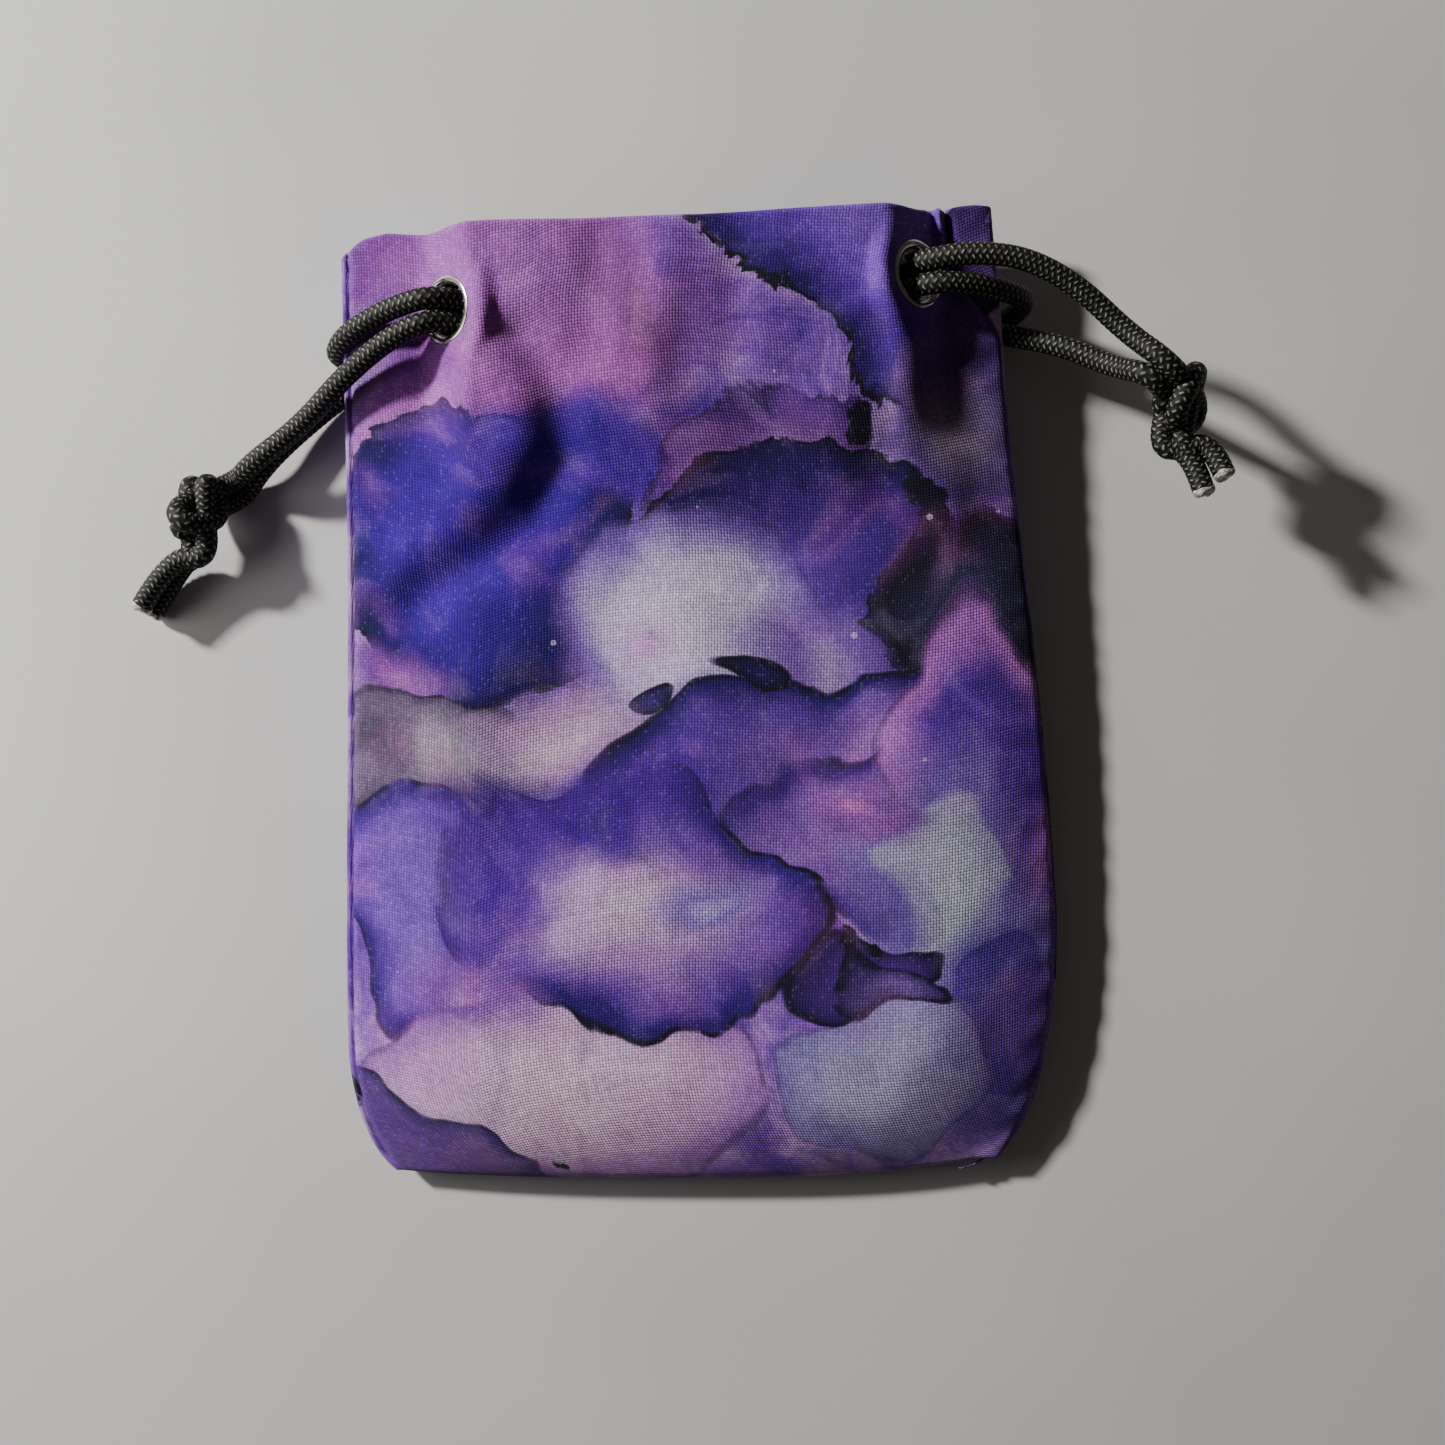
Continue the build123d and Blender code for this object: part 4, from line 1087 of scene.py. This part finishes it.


# ---- what each piece moves with
for name, piece in cloth.items():
    side, kind, half = name.split("_")
    finish_piece(piece, "printed_cotton" if kind == "panel" else "lining_cotton", f"{side}_{kind}")
    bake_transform(piece)
for half, piece in thread.items():
    finish_piece(piece, "thread", "seam_thread")
    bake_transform(piece)
for name, piece in metal.items():
    finish_piece(piece, "nickel", name)
    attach(piece, name.split("_")[0] + "_mouth")
for name, piece in cords.items():
    if "run" in name:
        node, half = name.rsplit("_", 1)
        finish_piece(piece, "paracord", node)
        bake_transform(piece)
    elif name.endswith("loop"):
        finish_piece(piece, "paracord", name)
        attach(piece, "left_mouth" if name == "right_cord_loop" else "right_mouth")
    else:
        end = name.split("_")[0]
        finish_piece(piece, "paracord", name, name.replace("strand", "tail"), end + "_knot")
        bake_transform(piece)
for name, piece in tips.items():
    end = name.split("_")[0]
    finish_piece(piece, "melted_nylon", end + "_melted_ends")
    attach(piece, end + "_end")

# ---- lights, floor and world
def area_light(name, place, size, watts, colour, aim=(0, 0, 0.005)):
    data = bpy.data.lights.new(name, "AREA")
    data.size = size
    data.energy = watts
    data.color = colour
    obj = bpy.data.objects.new(name, data)
    obj.location = place
    obj.rotation_euler = (Vector(aim) - Vector(place)).to_track_quat("-Z", "Y").to_euler()
    bpy.context.scene.collection.objects.link(obj)


area_light("key", (-0.765, 0.44, 0.47), 0.09, 18.0, (1.0, 0.98, 0.95))
area_light("side", (-0.29, 0.0, 0.14), 0.14, 0.24, (1.0, 0.97, 0.95), (-0.1, 0, 0))
world = bpy.data.worlds.new("studio")
world.use_nodes = True
world.node_tree.nodes["Background"].inputs[0].default_value = (1.0, 0.88, 0.82, 1)
world.node_tree.nodes["Background"].inputs[1].default_value = 0.045
bpy.context.scene.world = world

floor_mesh = bpy.data.meshes.new("floor")
floor_mesh.from_pydata([(-2, -2, 0), (2, -2, 0), (2, 2, 0), (-2, 2, 0)], [], [(0, 1, 2, 3)])
floor = bpy.data.objects.new("floor", floor_mesh)
floor.data.materials.append(floor_material())
bpy.context.scene.collection.objects.link(floor)

# ---- soft pieces
CORD_ENDS = {
    "left_front_strand": ((-45.8, 63.5, 18.8), "bare", "hanging"),
    "left_back_strand": ((-44.5, 55.7, 2.3), "bare", "loose"),
    "right_front_strand": ((38.0, 73.5, 19.2), "bare", "hanging"),
    "right_back_strand": ((36.6, 65.6, 2.8), "bare", "hanging"),
    "right_cord_loop": ((-45.8, 67.3, 18.9), "object", "loose"),
    "left_cord_loop": ((38.4, 69.7, 19.0), "object", "loose"),
}
for name, (way_out, far_end, lay) in CORD_ENDS.items():
    line = ROUTE_LINES[name]
for name, piece in cloth.items():
    half = name.rsplit("_", 1)[1]
